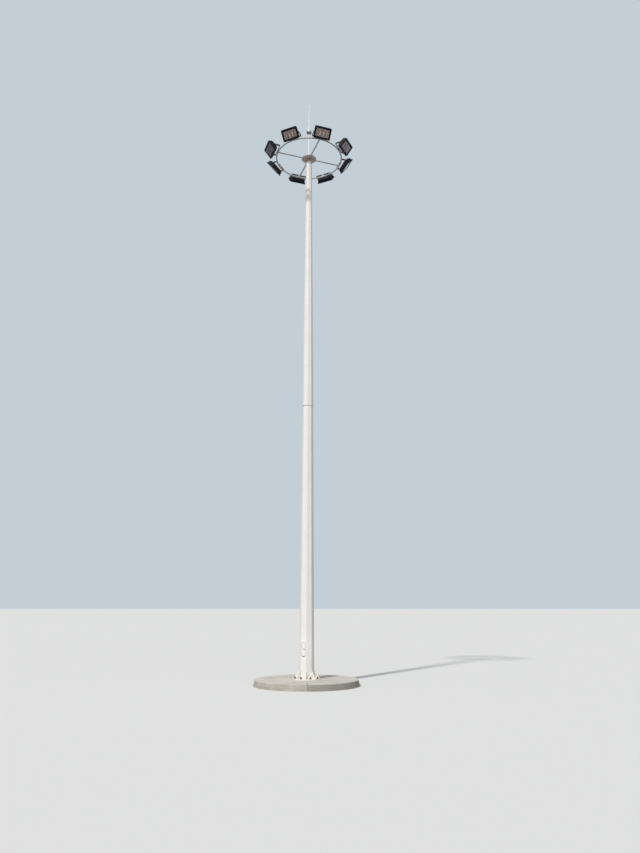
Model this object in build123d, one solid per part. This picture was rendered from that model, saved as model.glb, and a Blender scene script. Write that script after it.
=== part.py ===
from build123d import *
import os
from math import atan, cos, radians, sin, sqrt

# High mast floodlight tower, in millimetres.
# Origin: centre of the plinth's underside, on the ground.
# +Z is up, and the hand-hole door faces -Y.

# Plinth
plinth_foot_diameter = 2140.0
plinth_top_diameter = 2090.0
plinth_height = 120.0
plinth_edge_bevel = 8.0

# Base flange, its anchor bolts and the gussets on the shaft's corners
flange_diameter = 555.0
flange_thickness = 20.0
cable_hole_diameter = 190.0
bolt_circle_diameter = 490.0
bolt_count = 8
bolt_diameter = 24.0
bolt_hole_clearance = 4.0
bolt_stand_out = 16.0
bolt_embedment = 90.0
grout_clearance = 0.3
nut_across_flats = 36.0
nut_height = 20.0
washer_diameter = 48.0
washer_thickness = 4.0
gusset_height = 132.0
gusset_thickness = 10.0
gusset_foot_inset = 20.0
gusset_nose = 16.0
gusset_top_width = 14.0

# Octagonal shaft in two tapered lengths, the upper one slipped over the lower
shaft_sides = 8
lower_foot_flats = 291.0
lower_taper = 0.0128
lower_wall = 5.0
lower_length = 6080.0
foot_section_length = 980.0
slip_overlap = 400.0
slip_clearance = 0.3
upper_taper = 0.0158
upper_wall = 4.0
upper_length = 6300.0
bend_radius = 14.0

# Hand hole and its door, on the face that looks along -Y
hand_hole_height = 577.0
hand_hole_cut_depth = 15.0
hand_hole_width = 86.0
hand_hole_length = 276.0
door_gap = 5.5
door_thickness = 4.0
frame_depth = 40.0
frame_lap = 7.0
frame_lip = 8.0
hinge_offset = 4.0
hinge_stand_off = 7.0
hinge_knuckle_radius = 6.5
hinge_pin_radius = 3.0
hinge_running_clearance = 0.1
hinge_knuckle_length = 20.0
hinge_lug_length = 14.0
hinge_axial_gap = 0.5
hinge_spacing = 150.0
hinge_strap_thickness = 3.0
hinge_strap_lift = 0.5
hinge_strap_reach = 24.0
hinge_lug_reach = 5.4
hinge_lug_return = 3.6
lock_offset = 12.0
lock_barrel_radius = 9.0
lock_barrel_length = 18.0
lock_head_radius = 13.0
lock_head_height = 3.0
lock_key_size = 8.0
lock_nut_across_flats = 24.0
lock_nut_height = 5.0
lock_cam_length = 34.0
lock_cam_width = 12.0
lock_cam_thickness = 3.0
lock_fit = 0.1

# Head plate with its ribs
head_plate_diameter = 355.0
head_plate_thickness = 12.0
head_rib_height = 62.0
head_rib_thickness = 8.0
head_rib_nose = 10.0
head_rib_inset = 12.0

# Floodlight ring and its spokes
ring_radius = 790.0
ring_tube_diameter = 34.0
spoke_tube_diameter = 34.0
spoke_count = 4
spoke_first_angle = 45.0
spoke_plate_lap = 45.0
spoke_feather_trim = 4.0

# Floodlights, spread evenly round the ring, the first one facing +X
lamp_count = 8
lamp_tilt = 40.0
lamp_pivot_radius = 950.0
lamp_pivot_rise = 54.0
lamp_face_width = 405.0
lamp_face_height = 270.0
lamp_face_corner = 32.0
lamp_frame_depth = 30.0
lamp_face_ahead = 60.0
lamp_window_width = 327.0
lamp_window_height = 178.0
lamp_window_corner = 18.0
glass_recess = 3.0
glass_thickness = 4.0
glass_ledge = 6.0
glass_clearance = 0.3
housing_wall = 4.0
glass_ledge_thickness = 8.0
body_width = 368.0
body_height = 238.0
body_corner = 24.0
body_depth = 50.0
back_width = 284.0
back_height = 158.0
back_taper_depth = 20.0
fin_count = 13
fin_thickness = 4.0
fin_pitch = 26.0
fin_depth = 16.0
fin_root_inset = 4.0
fin_tip_height = 150.0
pivot_boss_radius = 17.0
pivot_pin_radius = 6.0
pivot_running_clearance = 0.1
pivot_side_gap = 0.3
pivot_head_radius = 13.0
pivot_head_height = 9.0
led_block_width = 256.0
led_block_height = 100.0
led_block_thickness = 9.0
reflector_wall = 2.0
reflector_side_gap = 0.5
reflector_front_gap = 3.0
led_count = 3
led_spacing = 84.0
led_radius = 24.0
led_thickness = 3.0

# Yokes and the brackets that carry them on the ring
yoke_half_gap = 190.0
yoke_thickness = 4.0
yoke_strap_width = 40.0
yoke_bend = 8.0
yoke_base_radius = 793.0
bracket_width = 60.0
bracket_thickness = 6.0
bracket_height = 78.0
bracket_corner = 8.0

# Lightning rod with its polished ball
rod_flange_diameter = 100.0
rod_flange_thickness = 10.0
rod_stem_diameter = 38.0
ball_rise = 755.0
ball_diameter = 130.0
ball_seat_radius = 22.0
rod_collar_diameter = 32.0
rod_collar_height = 16.0
rod_foot_diameter = 20.0
rod_neck_diameter = 9.0
rod_point_length = 45.0
rod_tip_rise = 1600.0
rod_tip_radius = 1.2

# Heights worked out from the sizes above
flange_z = plinth_height
shaft_foot_z = flange_z + flange_thickness
foot_section_head_z = shaft_foot_z + foot_section_length
lower_head_z = shaft_foot_z + lower_length
upper_foot_z = lower_head_z - slip_overlap
head_z = upper_foot_z + upper_length
plate_top_z = head_z + head_plate_thickness
ring_z = plate_top_z - head_plate_thickness / 2
hand_hole_z = plinth_height + hand_hole_height

half_side_angle = 180.0 / shaft_sides
corner_ratio = 1.0 / cos(radians(half_side_angle))


def lower_flats(height):
    """Outside width across flats of the lower length at a height above the ground."""
    return lower_foot_flats - lower_taper * (height - shaft_foot_z)


upper_foot_flats = (
    lower_flats(lower_head_z)
    + 2 * (slip_clearance + upper_wall)
    + upper_taper * slip_overlap
)


def upper_flats(height):
    """Outside width across flats of the upper length at a height above the ground."""
    return upper_foot_flats - upper_taper * (height - upper_foot_z)


def octagon(flats, bend, height):
    """Level octagon with a flat facing -Y and its corners bent to a radius."""
    outline = RegularPolygon(flats / 2, shaft_sides, major_radius=False, rotation=half_side_angle)
    return Pos(0, 0, height) * fillet(outline.vertices(), bend)


def tapered_octagon(bottom, top, flats_at, inset):
    """Solid between two heights whose sides lie inset inside the shaft's outer face."""
    bend = bend_radius - inset
    sections = [octagon(flats_at(z) - 2 * inset, bend, z) for z in (bottom, top)]
    return loft(sections, ruled=True)


def shaft_length(bottom, top, flats_at, wall):
    """Tapered octagonal tube of one wall thickness, open at both ends."""
    return tapered_octagon(bottom, top, flats_at, 0) - tapered_octagon(bottom, top, flats_at, wall)


def around(count, first_angle, shape):
    """Copies of a shape spread evenly about the mast's axis."""
    return [Rot(0, 0, first_angle + 360.0 / count * index) * shape for index in range(count)]


def upright_plate(points, thickness):
    """Plate standing in the plane of X and Z, drawn by its (radius, height) outline."""
    outline = make_face(Polyline(*[(radius, 0, height) for radius, height in points], close=True))
    return extrude(outline, amount=thickness / 2, dir=(0, 1, 0), both=True)


# Plinth and base

def make_plinth():
    """Round cement-rendered block with sloped sides and a socket for each anchor bolt."""
    foot = plinth_foot_diameter / 2
    top = plinth_top_diameter / 2
    outline = Polyline(
        (0, 0, 0),
        (foot, 0, 0),
        (top, 0, plinth_height - plinth_edge_bevel),
        (top - plinth_edge_bevel, 0, plinth_height),
        (0, 0, plinth_height),
        close=True,
    )
    block = revolve(make_face(outline), Axis.Z)
    socket = Pos(bolt_circle_diameter / 2, 0, plinth_height - bolt_embedment) * Cylinder(
        bolt_diameter / 2 + grout_clearance, bolt_embedment, align=(Align.CENTER, Align.CENTER, Align.MIN)
    )
    for hole in around(bolt_count, 0, socket):
        block -= hole
    return block


def make_anchor_bolts():
    """Stud, washer and hexagon nut of each anchor, standing in the plinth."""
    stud_foot = plinth_height - bolt_embedment
    washer_z = flange_z + flange_thickness
    nut_z = washer_z + washer_thickness
    stud_length = nut_z + nut_height + bolt_stand_out - stud_foot
    upward = (Align.CENTER, Align.CENTER, Align.MIN)
    stud = Pos(0, 0, stud_foot) * Cylinder(bolt_diameter / 2, stud_length, align=upward)
    washer = Pos(0, 0, washer_z) * Cylinder(washer_diameter / 2, washer_thickness, align=upward)
    nut = Pos(0, 0, nut_z) * extrude(
        RegularPolygon(nut_across_flats / 2, 6, major_radius=False), amount=nut_height
    )
    return around(bolt_count, 0, Pos(bolt_circle_diameter / 2, 0, 0) * (stud + washer + nut))


def make_base_flange():
    """Round base plate with its bolt holes and the cable hole in its middle."""
    plate = Circle(flange_diameter / 2) - Circle(cable_hole_diameter / 2)
    hole = Pos(bolt_circle_diameter / 2, 0) * Circle((bolt_diameter + bolt_hole_clearance) / 2)
    for cut in around(bolt_count, 0, hole):
        plate -= cut
    return Pos(0, 0, flange_z) * extrude(plate, amount=flange_thickness)


def make_base_gussets():
    """Plate on each corner of the shaft, notched over it and sloped on its outer edge."""
    foot = shaft_foot_z
    inner = lower_foot_flats / 4
    outer = flange_diameter / 2 - gusset_foot_inset
    top = lower_flats(foot + gusset_height) / 2 * corner_ratio + gusset_top_width
    outline = [
        (inner, foot),
        (outer, foot),
        (outer, foot + gusset_nose),
        (top, foot + gusset_height),
        (inner, foot + gusset_height),
    ]
    core = tapered_octagon(foot, foot + 2 * gusset_height, lower_flats, 0)
    plates = around(shaft_sides, half_side_angle, upright_plate(outline, gusset_thickness))
    return [plate - core for plate in plates]


# Hand hole

door_lean = atan(lower_taper / 2)
door_plane = Plane(
    origin=(0, -lower_flats(hand_hole_z) / 2, hand_hole_z),
    x_dir=(1, 0, 0),
    z_dir=(0, -cos(door_lean), sin(door_lean)),
)
hinge_x = -(hand_hole_width / 2 + hinge_offset)
skin_depth = lower_wall * cos(door_lean)


def door_slot(margin, back, front):
    """Prism of the hand hole's outline, widened all round by margin, between two depths."""
    outline = SlotOverall(hand_hole_length + 2 * margin, hand_hole_width + 2 * margin, rotation=90)
    return extrude(door_plane.offset(back) * outline, amount=front - back)


def door_block(x_range, y_range, z_range):
    """Box given by its ranges across, up and out of the door's plane."""
    size = [high - low for low, high in (x_range, y_range, z_range)]
    centre = [(high + low) / 2 for low, high in (x_range, y_range, z_range)]
    return door_plane.location * Pos(*centre) * Box(*size)


def hinge_cylinder(radius, low, high):
    """Cylinder on the hinge's axis between two heights along the door's plane."""
    barrel = Cylinder(radius, high - low, rotation=(90, 0, 0))
    return door_plane.location * Pos(hinge_x, (low + high) / 2, hinge_stand_off) * barrel


def make_lower_shaft_foot():
    """Foot of the lower length with the hand hole cut through its front face."""
    tube = shaft_length(shaft_foot_z, foot_section_head_z, lower_flats, lower_wall)
    return tube - door_slot(0, -hand_hole_cut_depth, hand_hole_cut_depth)


def make_hand_hole_frame():
    """Reinforcing band inside the hand hole, rebated behind the door's edge."""
    back = -skin_depth - frame_depth
    band = door_slot(frame_lap, back, -skin_depth) - door_slot(-frame_lip, back, 0)
    return band - door_slot(0, -door_thickness - door_gap, 0)


def hinge_centres():
    """Heights of the two hinges along the door's plane."""
    return [-hinge_spacing / 2, hinge_spacing / 2]


def make_hand_hole_door():
    """Flush door leaf with a strap and knuckle at each hinge and a hole for its lock."""
    leaf = door_slot(-door_gap, -door_thickness, 0)
    lock_hole = Cylinder(lock_barrel_radius + lock_fit, 4 * door_thickness)
    leaf -= door_plane.location * Pos(lock_offset, 0, 0) * lock_hole
    half = hinge_knuckle_length / 2
    leaf_edge = -hand_hole_width / 2 + door_gap
    strap_front = hinge_strap_lift + hinge_strap_thickness
    for centre in hinge_centres():
        span = (centre - half, centre + half)
        leaf += door_block((leaf_edge, leaf_edge + hinge_strap_reach), span, (0, strap_front))
        leaf += door_block((hinge_x, leaf_edge), span, (hinge_strap_lift, strap_front))
        leaf += hinge_cylinder(hinge_knuckle_radius, *span)
        leaf -= hinge_cylinder(hinge_pin_radius + hinge_running_clearance, *span)
    return leaf


def make_door_hinge_lugs():
    """Fixed half of each hinge: two lugs welded to the shaft, joined by the pin."""
    inner = hinge_knuckle_length / 2 + hinge_axial_gap
    outer = inner + hinge_lug_length
    across = (hinge_x - hinge_lug_reach, hinge_x + hinge_lug_return)
    hinges = []
    for centre in hinge_centres():
        hinge = hinge_cylinder(hinge_pin_radius, centre - outer, centre + outer)
        for low, high in ((-outer, -inner), (inner, outer)):
            span = (centre + low, centre + high)
            hinge += hinge_cylinder(hinge_knuckle_radius, *span)
            hinge += door_block(across, span, (0, hinge_stand_off))
        hinges.append(hinge)
    return hinges


def make_door_lock():
    """Key-operated cam lock in the door, with its nut and cam behind the leaf."""
    place = door_plane.location * Pos(lock_offset, 0, 0)
    upward = (Align.CENTER, Align.CENTER, Align.MIN)
    barrel = Pos(0, 0, -lock_barrel_length) * Cylinder(lock_barrel_radius, lock_barrel_length, align=upward)
    head = Cylinder(lock_head_radius, lock_head_height, align=upward)
    nut = Pos(0, 0, -door_thickness - lock_nut_height) * extrude(
        RegularPolygon(lock_nut_across_flats / 2, 6, major_radius=False), amount=lock_nut_height
    )
    cam_middle = lock_cam_length / 2 - lock_cam_width / 2
    cam = Pos(0, cam_middle, -lock_barrel_length - lock_cam_thickness) * extrude(
        SlotOverall(lock_cam_length, lock_cam_width, rotation=90), amount=lock_cam_thickness
    )
    key = extrude(
        RegularPolygon(lock_key_size / 2, 3, rotation=90), amount=lock_head_height
    )
    return place * (barrel + head + nut + cam - key)


# Head of the mast

def make_head_plate():
    """Round plate that closes the shaft's top and carries the spokes."""
    return Pos(0, 0, head_z) * extrude(Circle(head_plate_diameter / 2), amount=head_plate_thickness)


def make_head_ribs():
    """Rib under the head plate on each corner of the shaft."""
    inner = upper_flats(head_z) / 4
    outer = head_plate_diameter / 2 - head_rib_inset
    wall = upper_flats(head_z - head_rib_height) / 2 * corner_ratio
    outline = [
        (inner, head_z),
        (outer, head_z),
        (outer, head_z - head_rib_nose),
        (wall + head_rib_nose, head_z - head_rib_height),
        (inner, head_z - head_rib_height),
    ]
    core = tapered_octagon(head_z - 2 * head_rib_height, head_z, upper_flats, 0)
    ribs = around(shaft_sides, half_side_angle, upright_plate(outline, head_rib_thickness))
    return [rib - core for rib in ribs]


def make_lamp_ring():
    """Round tube ring that carries the floodlights."""
    return Pos(0, 0, ring_z) * Torus(ring_radius, ring_tube_diameter / 2)


def make_spokes(ring, plate):
    """Tubes slotted over the head plate's rim and coped to the ring at their outer ends."""
    inner = head_plate_diameter / 2 - spoke_plate_lap
    outer = ring_radius - spoke_feather_trim
    tube = Cylinder(spoke_tube_diameter / 2, outer - inner, rotation=(0, 90, 0))
    spoke = Pos((outer + inner) / 2, 0, ring_z) * tube
    return [bar - ring - plate for bar in around(spoke_count, spoke_first_angle, spoke)]


# Floodlights

def lamp_angle(index):
    """Direction that a floodlight faces, about the mast's axis."""
    return 360.0 / lamp_count * index


def yoke_plane(index):
    """Plane at a floodlight's pivot: X along the pivot, Y up, Z away from the mast."""
    angle = radians(lamp_angle(index))
    outward = Vector(cos(angle), sin(angle), 0)
    pivot = outward * lamp_pivot_radius + Vector(0, 0, ring_z + lamp_pivot_rise)
    return Plane(origin=pivot, x_dir=(-sin(angle), cos(angle), 0), z_dir=outward)


def lamp_location(index):
    """Place of a floodlight whose own frame has Z out of its glass, tilted down."""
    return yoke_plane(index).location * Rot(lamp_tilt, 0, 0)


def rounded_slab(width, height, corner, bottom, top):
    """Upright-cornered slab between two depths of the floodlight's own frame."""
    return Pos(0, 0, bottom) * extrude(RectangleRounded(width, height, corner), amount=top - bottom)


def tapered_slab(bottom_size, top_size, corner, bottom, top):
    """Slab whose rounded section changes from one size to another between two depths."""
    sections = [
        Pos(0, 0, depth) * RectangleRounded(*size, corner)
        for size, depth in ((bottom_size, bottom), (top_size, top))
    ]
    return loft(sections, ruled=True)


frame_back = lamp_face_ahead - lamp_frame_depth
body_back = frame_back - body_depth
taper_back = body_back - back_taper_depth
fin_back = taper_back - fin_depth
glass_back = lamp_face_ahead - glass_recess - glass_thickness
cavity_front = glass_back - glass_ledge_thickness
cavity_floor = body_back + housing_wall
ledge_width = lamp_window_width - 2 * glass_ledge
ledge_height = lamp_window_height - 2 * glass_ledge


def trapezoid_prism(front, back, depth_of_back, half_length):
    """Prism along X, front wide in Y at the body's back face and back wide at a depth."""
    outline = Polyline(
        (0, -front / 2, body_back),
        (0, -back / 2, depth_of_back),
        (0, back / 2, depth_of_back),
        (0, front / 2, body_back),
        close=True,
    )
    return extrude(make_face(outline), amount=half_length, dir=(1, 0, 0), both=True)


def make_housing_back():
    """Back of the housing: slopes on all four sides inside the body's rounded outline."""
    upright = trapezoid_prism(body_height, back_height, taper_back, body_width)
    across = Rot(0, 0, 90) * trapezoid_prism(body_width, back_width, taper_back, body_height)
    return upright & across & rounded_slab(body_width, body_height, body_corner, taper_back, body_back)


def make_fins():
    """Upright cooling fins on the housing's back, narrower towards their tips."""
    fin = trapezoid_prism(body_height - 2 * fin_root_inset, fin_tip_height, fin_back, fin_thickness / 2)
    return [Pos((index - (fin_count - 1) / 2) * fin_pitch, 0, 0) * fin for index in range(fin_count)]


def make_housing():
    """Cast housing: front frame, tapered body, vertical cooling fins and pivot pins."""
    body = rounded_slab(lamp_face_width, lamp_face_height, lamp_face_corner, frame_back, lamp_face_ahead)
    body += rounded_slab(body_width, body_height, body_corner, body_back, frame_back)
    body += make_housing_back()
    for fin in make_fins():
        body += fin
    boss_start = (body_width - housing_wall) / 2
    boss_end = yoke_half_gap - pivot_side_gap
    head_start = yoke_half_gap + yoke_thickness + pivot_side_gap
    for side in (-1, 1):
        boss = Cylinder(pivot_boss_radius, boss_end - boss_start, rotation=(0, 90, 0))
        body += Pos(side * (boss_end + boss_start) / 2, 0, 0) * boss
        pin = Cylinder(pivot_pin_radius, head_start - boss_end, rotation=(0, 90, 0))
        body += Pos(side * (boss_end + head_start) / 2, 0, 0) * pin
        head = Cylinder(pivot_head_radius, pivot_head_height, rotation=(0, 90, 0))
        body += Pos(side * (head_start + pivot_head_height / 2), 0, 0) * head
    body -= rounded_slab(
        lamp_window_width, lamp_window_height, lamp_window_corner, glass_back, lamp_face_ahead
    )
    body -= rounded_slab(ledge_width, ledge_height, lamp_window_corner, cavity_front, glass_back)
    body -= rounded_slab(
        body_width - 2 * housing_wall,
        body_height - 2 * housing_wall,
        body_corner - housing_wall,
        cavity_floor,
        cavity_front,
    )
    return body


def make_glass():
    """Toughened front glass, lying on its ledge inside the frame."""
    width = lamp_window_width - 2 * glass_clearance
    height = lamp_window_height - 2 * glass_clearance
    return rounded_slab(width, height, lamp_window_corner, glass_back, glass_back + glass_thickness)


def make_led_reflector():
    """Block with its row of light sources and the flared reflector round them."""
    front = glass_back - reflector_front_gap
    foot = cavity_floor + led_block_thickness
    block_size = (led_block_width, led_block_height)
    flare_size = (ledge_width - 2 * reflector_side_gap, ledge_height - 2 * reflector_side_gap)
    inner_flare = tuple(side - 2 * reflector_wall for side in flare_size)
    inner_block = tuple(side - 2 * reflector_wall for side in block_size)
    corner = lamp_window_corner
    tray = rounded_slab(*block_size, corner, cavity_floor, foot)
    tray += tapered_slab(block_size, flare_size, corner, foot, front)
    tray -= tapered_slab(inner_block, inner_flare, corner - reflector_wall, foot, front)
    for index in range(led_count):
        offset = (index - (led_count - 1) / 2) * led_spacing
        chip = Cylinder(led_radius, led_thickness, align=(Align.CENTER, Align.CENTER, Align.MIN))
        tray += Pos(offset, 0, foot) * chip
    return tray


def make_yoke():
    """Bent strap with rounded ends that holds a floodlight at its two pivots."""
    outer = yoke_half_gap + yoke_thickness
    back = yoke_base_radius - lamp_pivot_radius
    strap_end = yoke_strap_width / 2
    outline = Polyline(
        (-outer, 0, strap_end), (-outer, 0, back), (outer, 0, back), (outer, 0, strap_end),
        (yoke_half_gap, 0, strap_end), (yoke_half_gap, 0, back + yoke_thickness),
        (-yoke_half_gap, 0, back + yoke_thickness), (-yoke_half_gap, 0, strap_end),
        close=True,
    )
    strap = extrude(make_face(outline), amount=yoke_strap_width / 2, dir=(0, 1, 0), both=True)
    bends = strap.edges().filter_by(Axis.Y).group_by(Axis.Z)[0]
    strap = fillet(bends, yoke_bend)
    long_block = Box(
        3 * outer, yoke_strap_width, strap_end - back, align=(Align.CENTER, Align.CENTER, Align.MAX)
    )
    round_end = Cylinder(strap_end, 3 * outer, rotation=(0, 90, 0))
    strap = strap & (long_block + round_end)
    return strap - Cylinder(pivot_pin_radius + pivot_running_clearance, 3 * outer, rotation=(0, 90, 0))


def make_ring_bracket(ring):
    """Upright plate coped onto the ring's tube, for the floodlight that faces +X."""
    centre = yoke_base_radius - bracket_thickness / 2
    face = RectangleRounded(bracket_width, 2 * bracket_height, bracket_corner)
    plate = Pos(centre, 0, ring_z) * extrude(
        Plane.YZ * face, amount=bracket_thickness / 2, both=True
    )
    above = Pos(centre, 0, ring_z) * Box(
        2 * ring_tube_diameter, 2 * bracket_width, 2 * bracket_height,
        align=(Align.CENTER, Align.CENTER, Align.MIN),
    )
    return (plate & above) - ring


# Lightning rod

ball_z = plate_top_z + ball_rise
ball_seat_drop = sqrt((ball_diameter / 2) ** 2 - ball_seat_radius ** 2)


def turned(points):
    """Solid turned about the mast's axis from its (radius, height) outline."""
    return revolve(make_face(Polyline(*[(radius, 0, height) for radius, height in points], close=True)), Axis.Z)


def make_rod_stem():
    """Stem of the lightning rod, from its foot flange on the head plate up to the ball."""
    flange_top = plate_top_z + rod_flange_thickness
    top = ball_z - ball_seat_drop
    return turned([
        (0, plate_top_z),
        (rod_flange_diameter / 2, plate_top_z),
        (rod_flange_diameter / 2, flange_top),
        (rod_stem_diameter / 2, flange_top),
        (rod_stem_diameter / 2, top),
        (0, top),
    ])


def make_rod_ball():
    """Polished ball, flattened where the stem and the rod seat on it."""
    ball = Sphere(ball_diameter / 2)
    between = Cylinder(ball_diameter, 2 * ball_seat_drop)
    return Pos(0, 0, ball_z) * (ball & between)


def make_rod_tip():
    """Tapered rod with a collar on the ball and a pointed end."""
    foot = ball_z + ball_seat_drop
    tip = plate_top_z + rod_tip_rise
    return turned([
        (0, foot),
        (rod_collar_diameter / 2, foot),
        (rod_collar_diameter / 2, foot + rod_collar_height),
        (rod_foot_diameter / 2, foot + rod_collar_height),
        (rod_neck_diameter / 2, tip - rod_point_length),
        (rod_tip_radius, tip),
        (0, tip),
    ])


def write(node, shape):
    """Write one sub-part: a single solid, or a list of solids that do not touch."""
    if isinstance(shape, list):
        solids = [solid for item in shape for solid in item.solids()]
        shape = Compound(solids)
    export_step(shape, os.path.join("parts", node + ".step"))


os.makedirs("parts", exist_ok=True)

write("plinth", make_plinth())
write("anchor_bolts", make_anchor_bolts())
write("base_flange", make_base_flange())
write("base_gussets", make_base_gussets())
write("lower_shaft_foot", make_lower_shaft_foot())
write("lower_shaft", shaft_length(foot_section_head_z, lower_head_z, lower_flats, lower_wall))
write("hand_hole_frame", make_hand_hole_frame())
write("hand_hole_door", make_hand_hole_door())
write("door_hinge_lugs", make_door_hinge_lugs())
write("door_lock", make_door_lock())
write("upper_shaft", shaft_length(upper_foot_z, head_z, upper_flats, upper_wall))

head_plate = make_head_plate()
write("head_plate", head_plate)
write("head_ribs", make_head_ribs())

lamp_ring = make_lamp_ring()
write("lamp_ring", lamp_ring)
write("spokes", make_spokes(lamp_ring, head_plate))
write("ring_brackets", around(lamp_count, 0, make_ring_bracket(lamp_ring)))

yoke = make_yoke()
write("floodlight_yokes", [yoke_plane(index).location * yoke for index in range(lamp_count)])

lamp_pieces = {
    "housing": make_housing(),
    "glass": make_glass(),
    "led_reflector": make_led_reflector(),
}
for index in range(lamp_count):
    for name, piece in lamp_pieces.items():
        write(f"floodlight_{index + 1}_{name}", lamp_location(index) * piece)

write("rod_stem", make_rod_stem())
write("rod_ball", make_rod_ball())
write("rod_tip", make_rod_tip())
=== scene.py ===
"""Looks of the high mast floodlight tower, in metres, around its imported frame.

The mast stands on its round plinth at the origin with +Z up and its hand-hole door towards -Y.
Floodlight 1 faces +X, and the others follow every 45 degrees round the ring.
"""
import logging
import math
from dataclasses import dataclass
from enum import Enum
from typing import Any, Mapping, Optional, Sequence, Union

import bmesh
import bpy
import numpy as np
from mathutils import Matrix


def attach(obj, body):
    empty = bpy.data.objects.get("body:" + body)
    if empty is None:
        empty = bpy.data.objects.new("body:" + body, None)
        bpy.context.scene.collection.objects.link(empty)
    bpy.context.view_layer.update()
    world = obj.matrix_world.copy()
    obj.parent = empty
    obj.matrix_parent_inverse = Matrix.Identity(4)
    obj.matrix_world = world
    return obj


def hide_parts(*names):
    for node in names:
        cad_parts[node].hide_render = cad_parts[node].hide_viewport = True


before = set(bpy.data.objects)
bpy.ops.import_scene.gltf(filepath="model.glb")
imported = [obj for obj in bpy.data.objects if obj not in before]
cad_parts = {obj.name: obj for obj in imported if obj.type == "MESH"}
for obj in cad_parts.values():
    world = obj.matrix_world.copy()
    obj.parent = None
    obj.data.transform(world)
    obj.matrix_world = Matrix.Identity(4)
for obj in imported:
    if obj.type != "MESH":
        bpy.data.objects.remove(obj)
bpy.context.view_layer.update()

Array = np.ndarray
Socket = bpy.types.NodeSocket
TURN = 2.0 * math.pi
MERGE_DISTANCE = 2e-6
BEAD_RIPPLE = 0.16

# Sizes that several sub-assemblies share. The bends at the shaft's corners lie inside the sharp
# octagon by the cut.
FLANGE_TOP = 0.140
PLATE_UNDERSIDE = 12.120
PLATE_THICKNESS = 0.012
LOWER_FLATS = 0.291
LOWER_TAPER = 0.0128
UPPER_TAPER = 0.0158
SHAFT_BEND = 0.014
BEND_CUT = 0.0011

log = logging.getLogger("tower")


class Body(Enum):
    """Bodies of the frame, apart from the floodlights, that pieces ride on."""

    MAST = "mast"
    DOOR = "hand_hole_door"


class Slot(Enum):
    """The record's material slots."""

    CONCRETE = "concrete"
    WHITE_STEEL = "white_painted_steel"
    BOLT_STEEL = "weathered_bolt_steel"
    PLATED_STEEL = "plated_steel"
    BLACK_STEEL = "black_strap_steel"
    BLACK_ALUMINIUM = "black_cast_aluminium"
    REFLECTOR = "reflector_aluminium"
    STAINLESS = "polished_stainless"


# Surfaces worked out as whole arrays

@dataclass(frozen=True)
class Surface:
    """A patch of mesh: vertices (n, 3) in metres and faces (m, 4) of vertex numbers."""

    points: Array
    faces: Array

    def placed(self, matrix: Array) -> "Surface":
        """The same patch carried by a 4 by 4 matrix.

        Args:
            matrix: the placing, acting on column vectors.

        Returns:
            The moved patch.
        """
        return Surface(self.points @ matrix[:3, :3].T + matrix[:3, 3], self.faces)

    def at_each(self, matrices: Sequence[Array]) -> "Surface":
        """Copies of the patch at several places, as one patch."""
        return joined([self.placed(matrix) for matrix in matrices])


def joined(patches: Sequence[Surface]) -> Surface:
    """One patch that holds several, with the vertex numbers of each moved on.

    Args:
        patches: the patches to put together.

    Returns:
        The joined patch.
    """
    starts = np.cumsum([0] + [len(patch.points) for patch in patches])
    points = np.concatenate([patch.points for patch in patches])
    faces = np.concatenate([patch.faces + start for patch, start in zip(patches, starts)])
    return Surface(points, faces)


def grid(points: Array, wrap_rows: bool = False, wrap_columns: bool = True) -> Surface:
    """Faces over a grid of points: each joins a point to the next in its row and column.

    Args:
        points: array (rows, columns, 3) in metres.
        wrap_rows: the last row joins the first.
        wrap_columns: the last column joins the first.

    Returns:
        The patch with a four-cornered face in each cell.
    """
    rows, columns = points.shape[:2]
    row = np.arange(rows if wrap_rows else rows - 1)[:, None]
    column = np.arange(columns if wrap_columns else columns - 1)[None, :]
    below, beside = (row + 1) % rows, (column + 1) % columns
    corners = ((row, column), (row, beside), (below, beside), (below, column))
    faces = np.stack(np.broadcast_arrays(*(down * columns + along for down, along in corners)), -1)
    return Surface(points.reshape(-1, 3), faces.reshape(-1, 4))


def turned(radius: Sequence[float], height: Sequence[float], steps: int,
           angle: Optional[Array] = None) -> Surface:
    """Surface turned about Z: x = r cos(a), y = r sin(a), z = h, for a once round the circle.

    Args:
        radius: radius of each profile point, as (n,) or as (n, steps) where it changes on the way round.
        height: height of each profile point, in either form.
        steps: points round the circle.
        angle: the points' angles, as (n, steps), where they aren't even.

    Returns:
        The patch, closed where the profile starts and ends on the axis.
    """
    angle = np.linspace(0.0, TURN, steps, endpoint=False) if angle is None else angle
    whole = [np.asarray(values, float) for values in (radius, height)]
    r, z = (values if values.ndim == 2 else np.repeat(values[:, None], steps, 1) for values in whole)
    return grid(np.stack([r * np.cos(angle), r * np.sin(angle), z], -1))


def evenly(path: Array, step: float, closed: bool = False) -> Array:
    """Points at equal runs along a line of straight pieces, by linear interpolation of the run.

    Args:
        path: the line's corners (n, 3).
        step: the wanted distance between points.
        closed: the line's end joins its start.

    Returns:
        The new points; a closed line doesn't repeat its first.
    """
    line = np.concatenate([path, path[:1]]) if closed else path
    run = np.concatenate([[0.0], np.cumsum(np.linalg.norm(np.diff(line, axis=0), axis=1))])
    count = max(6, int(round(run[-1] / step)))
    at = np.linspace(0.0, run[-1], count, endpoint=not closed)
    return np.stack([np.interp(at, run, line[:, axis]) for axis in range(3)], -1)


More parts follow.
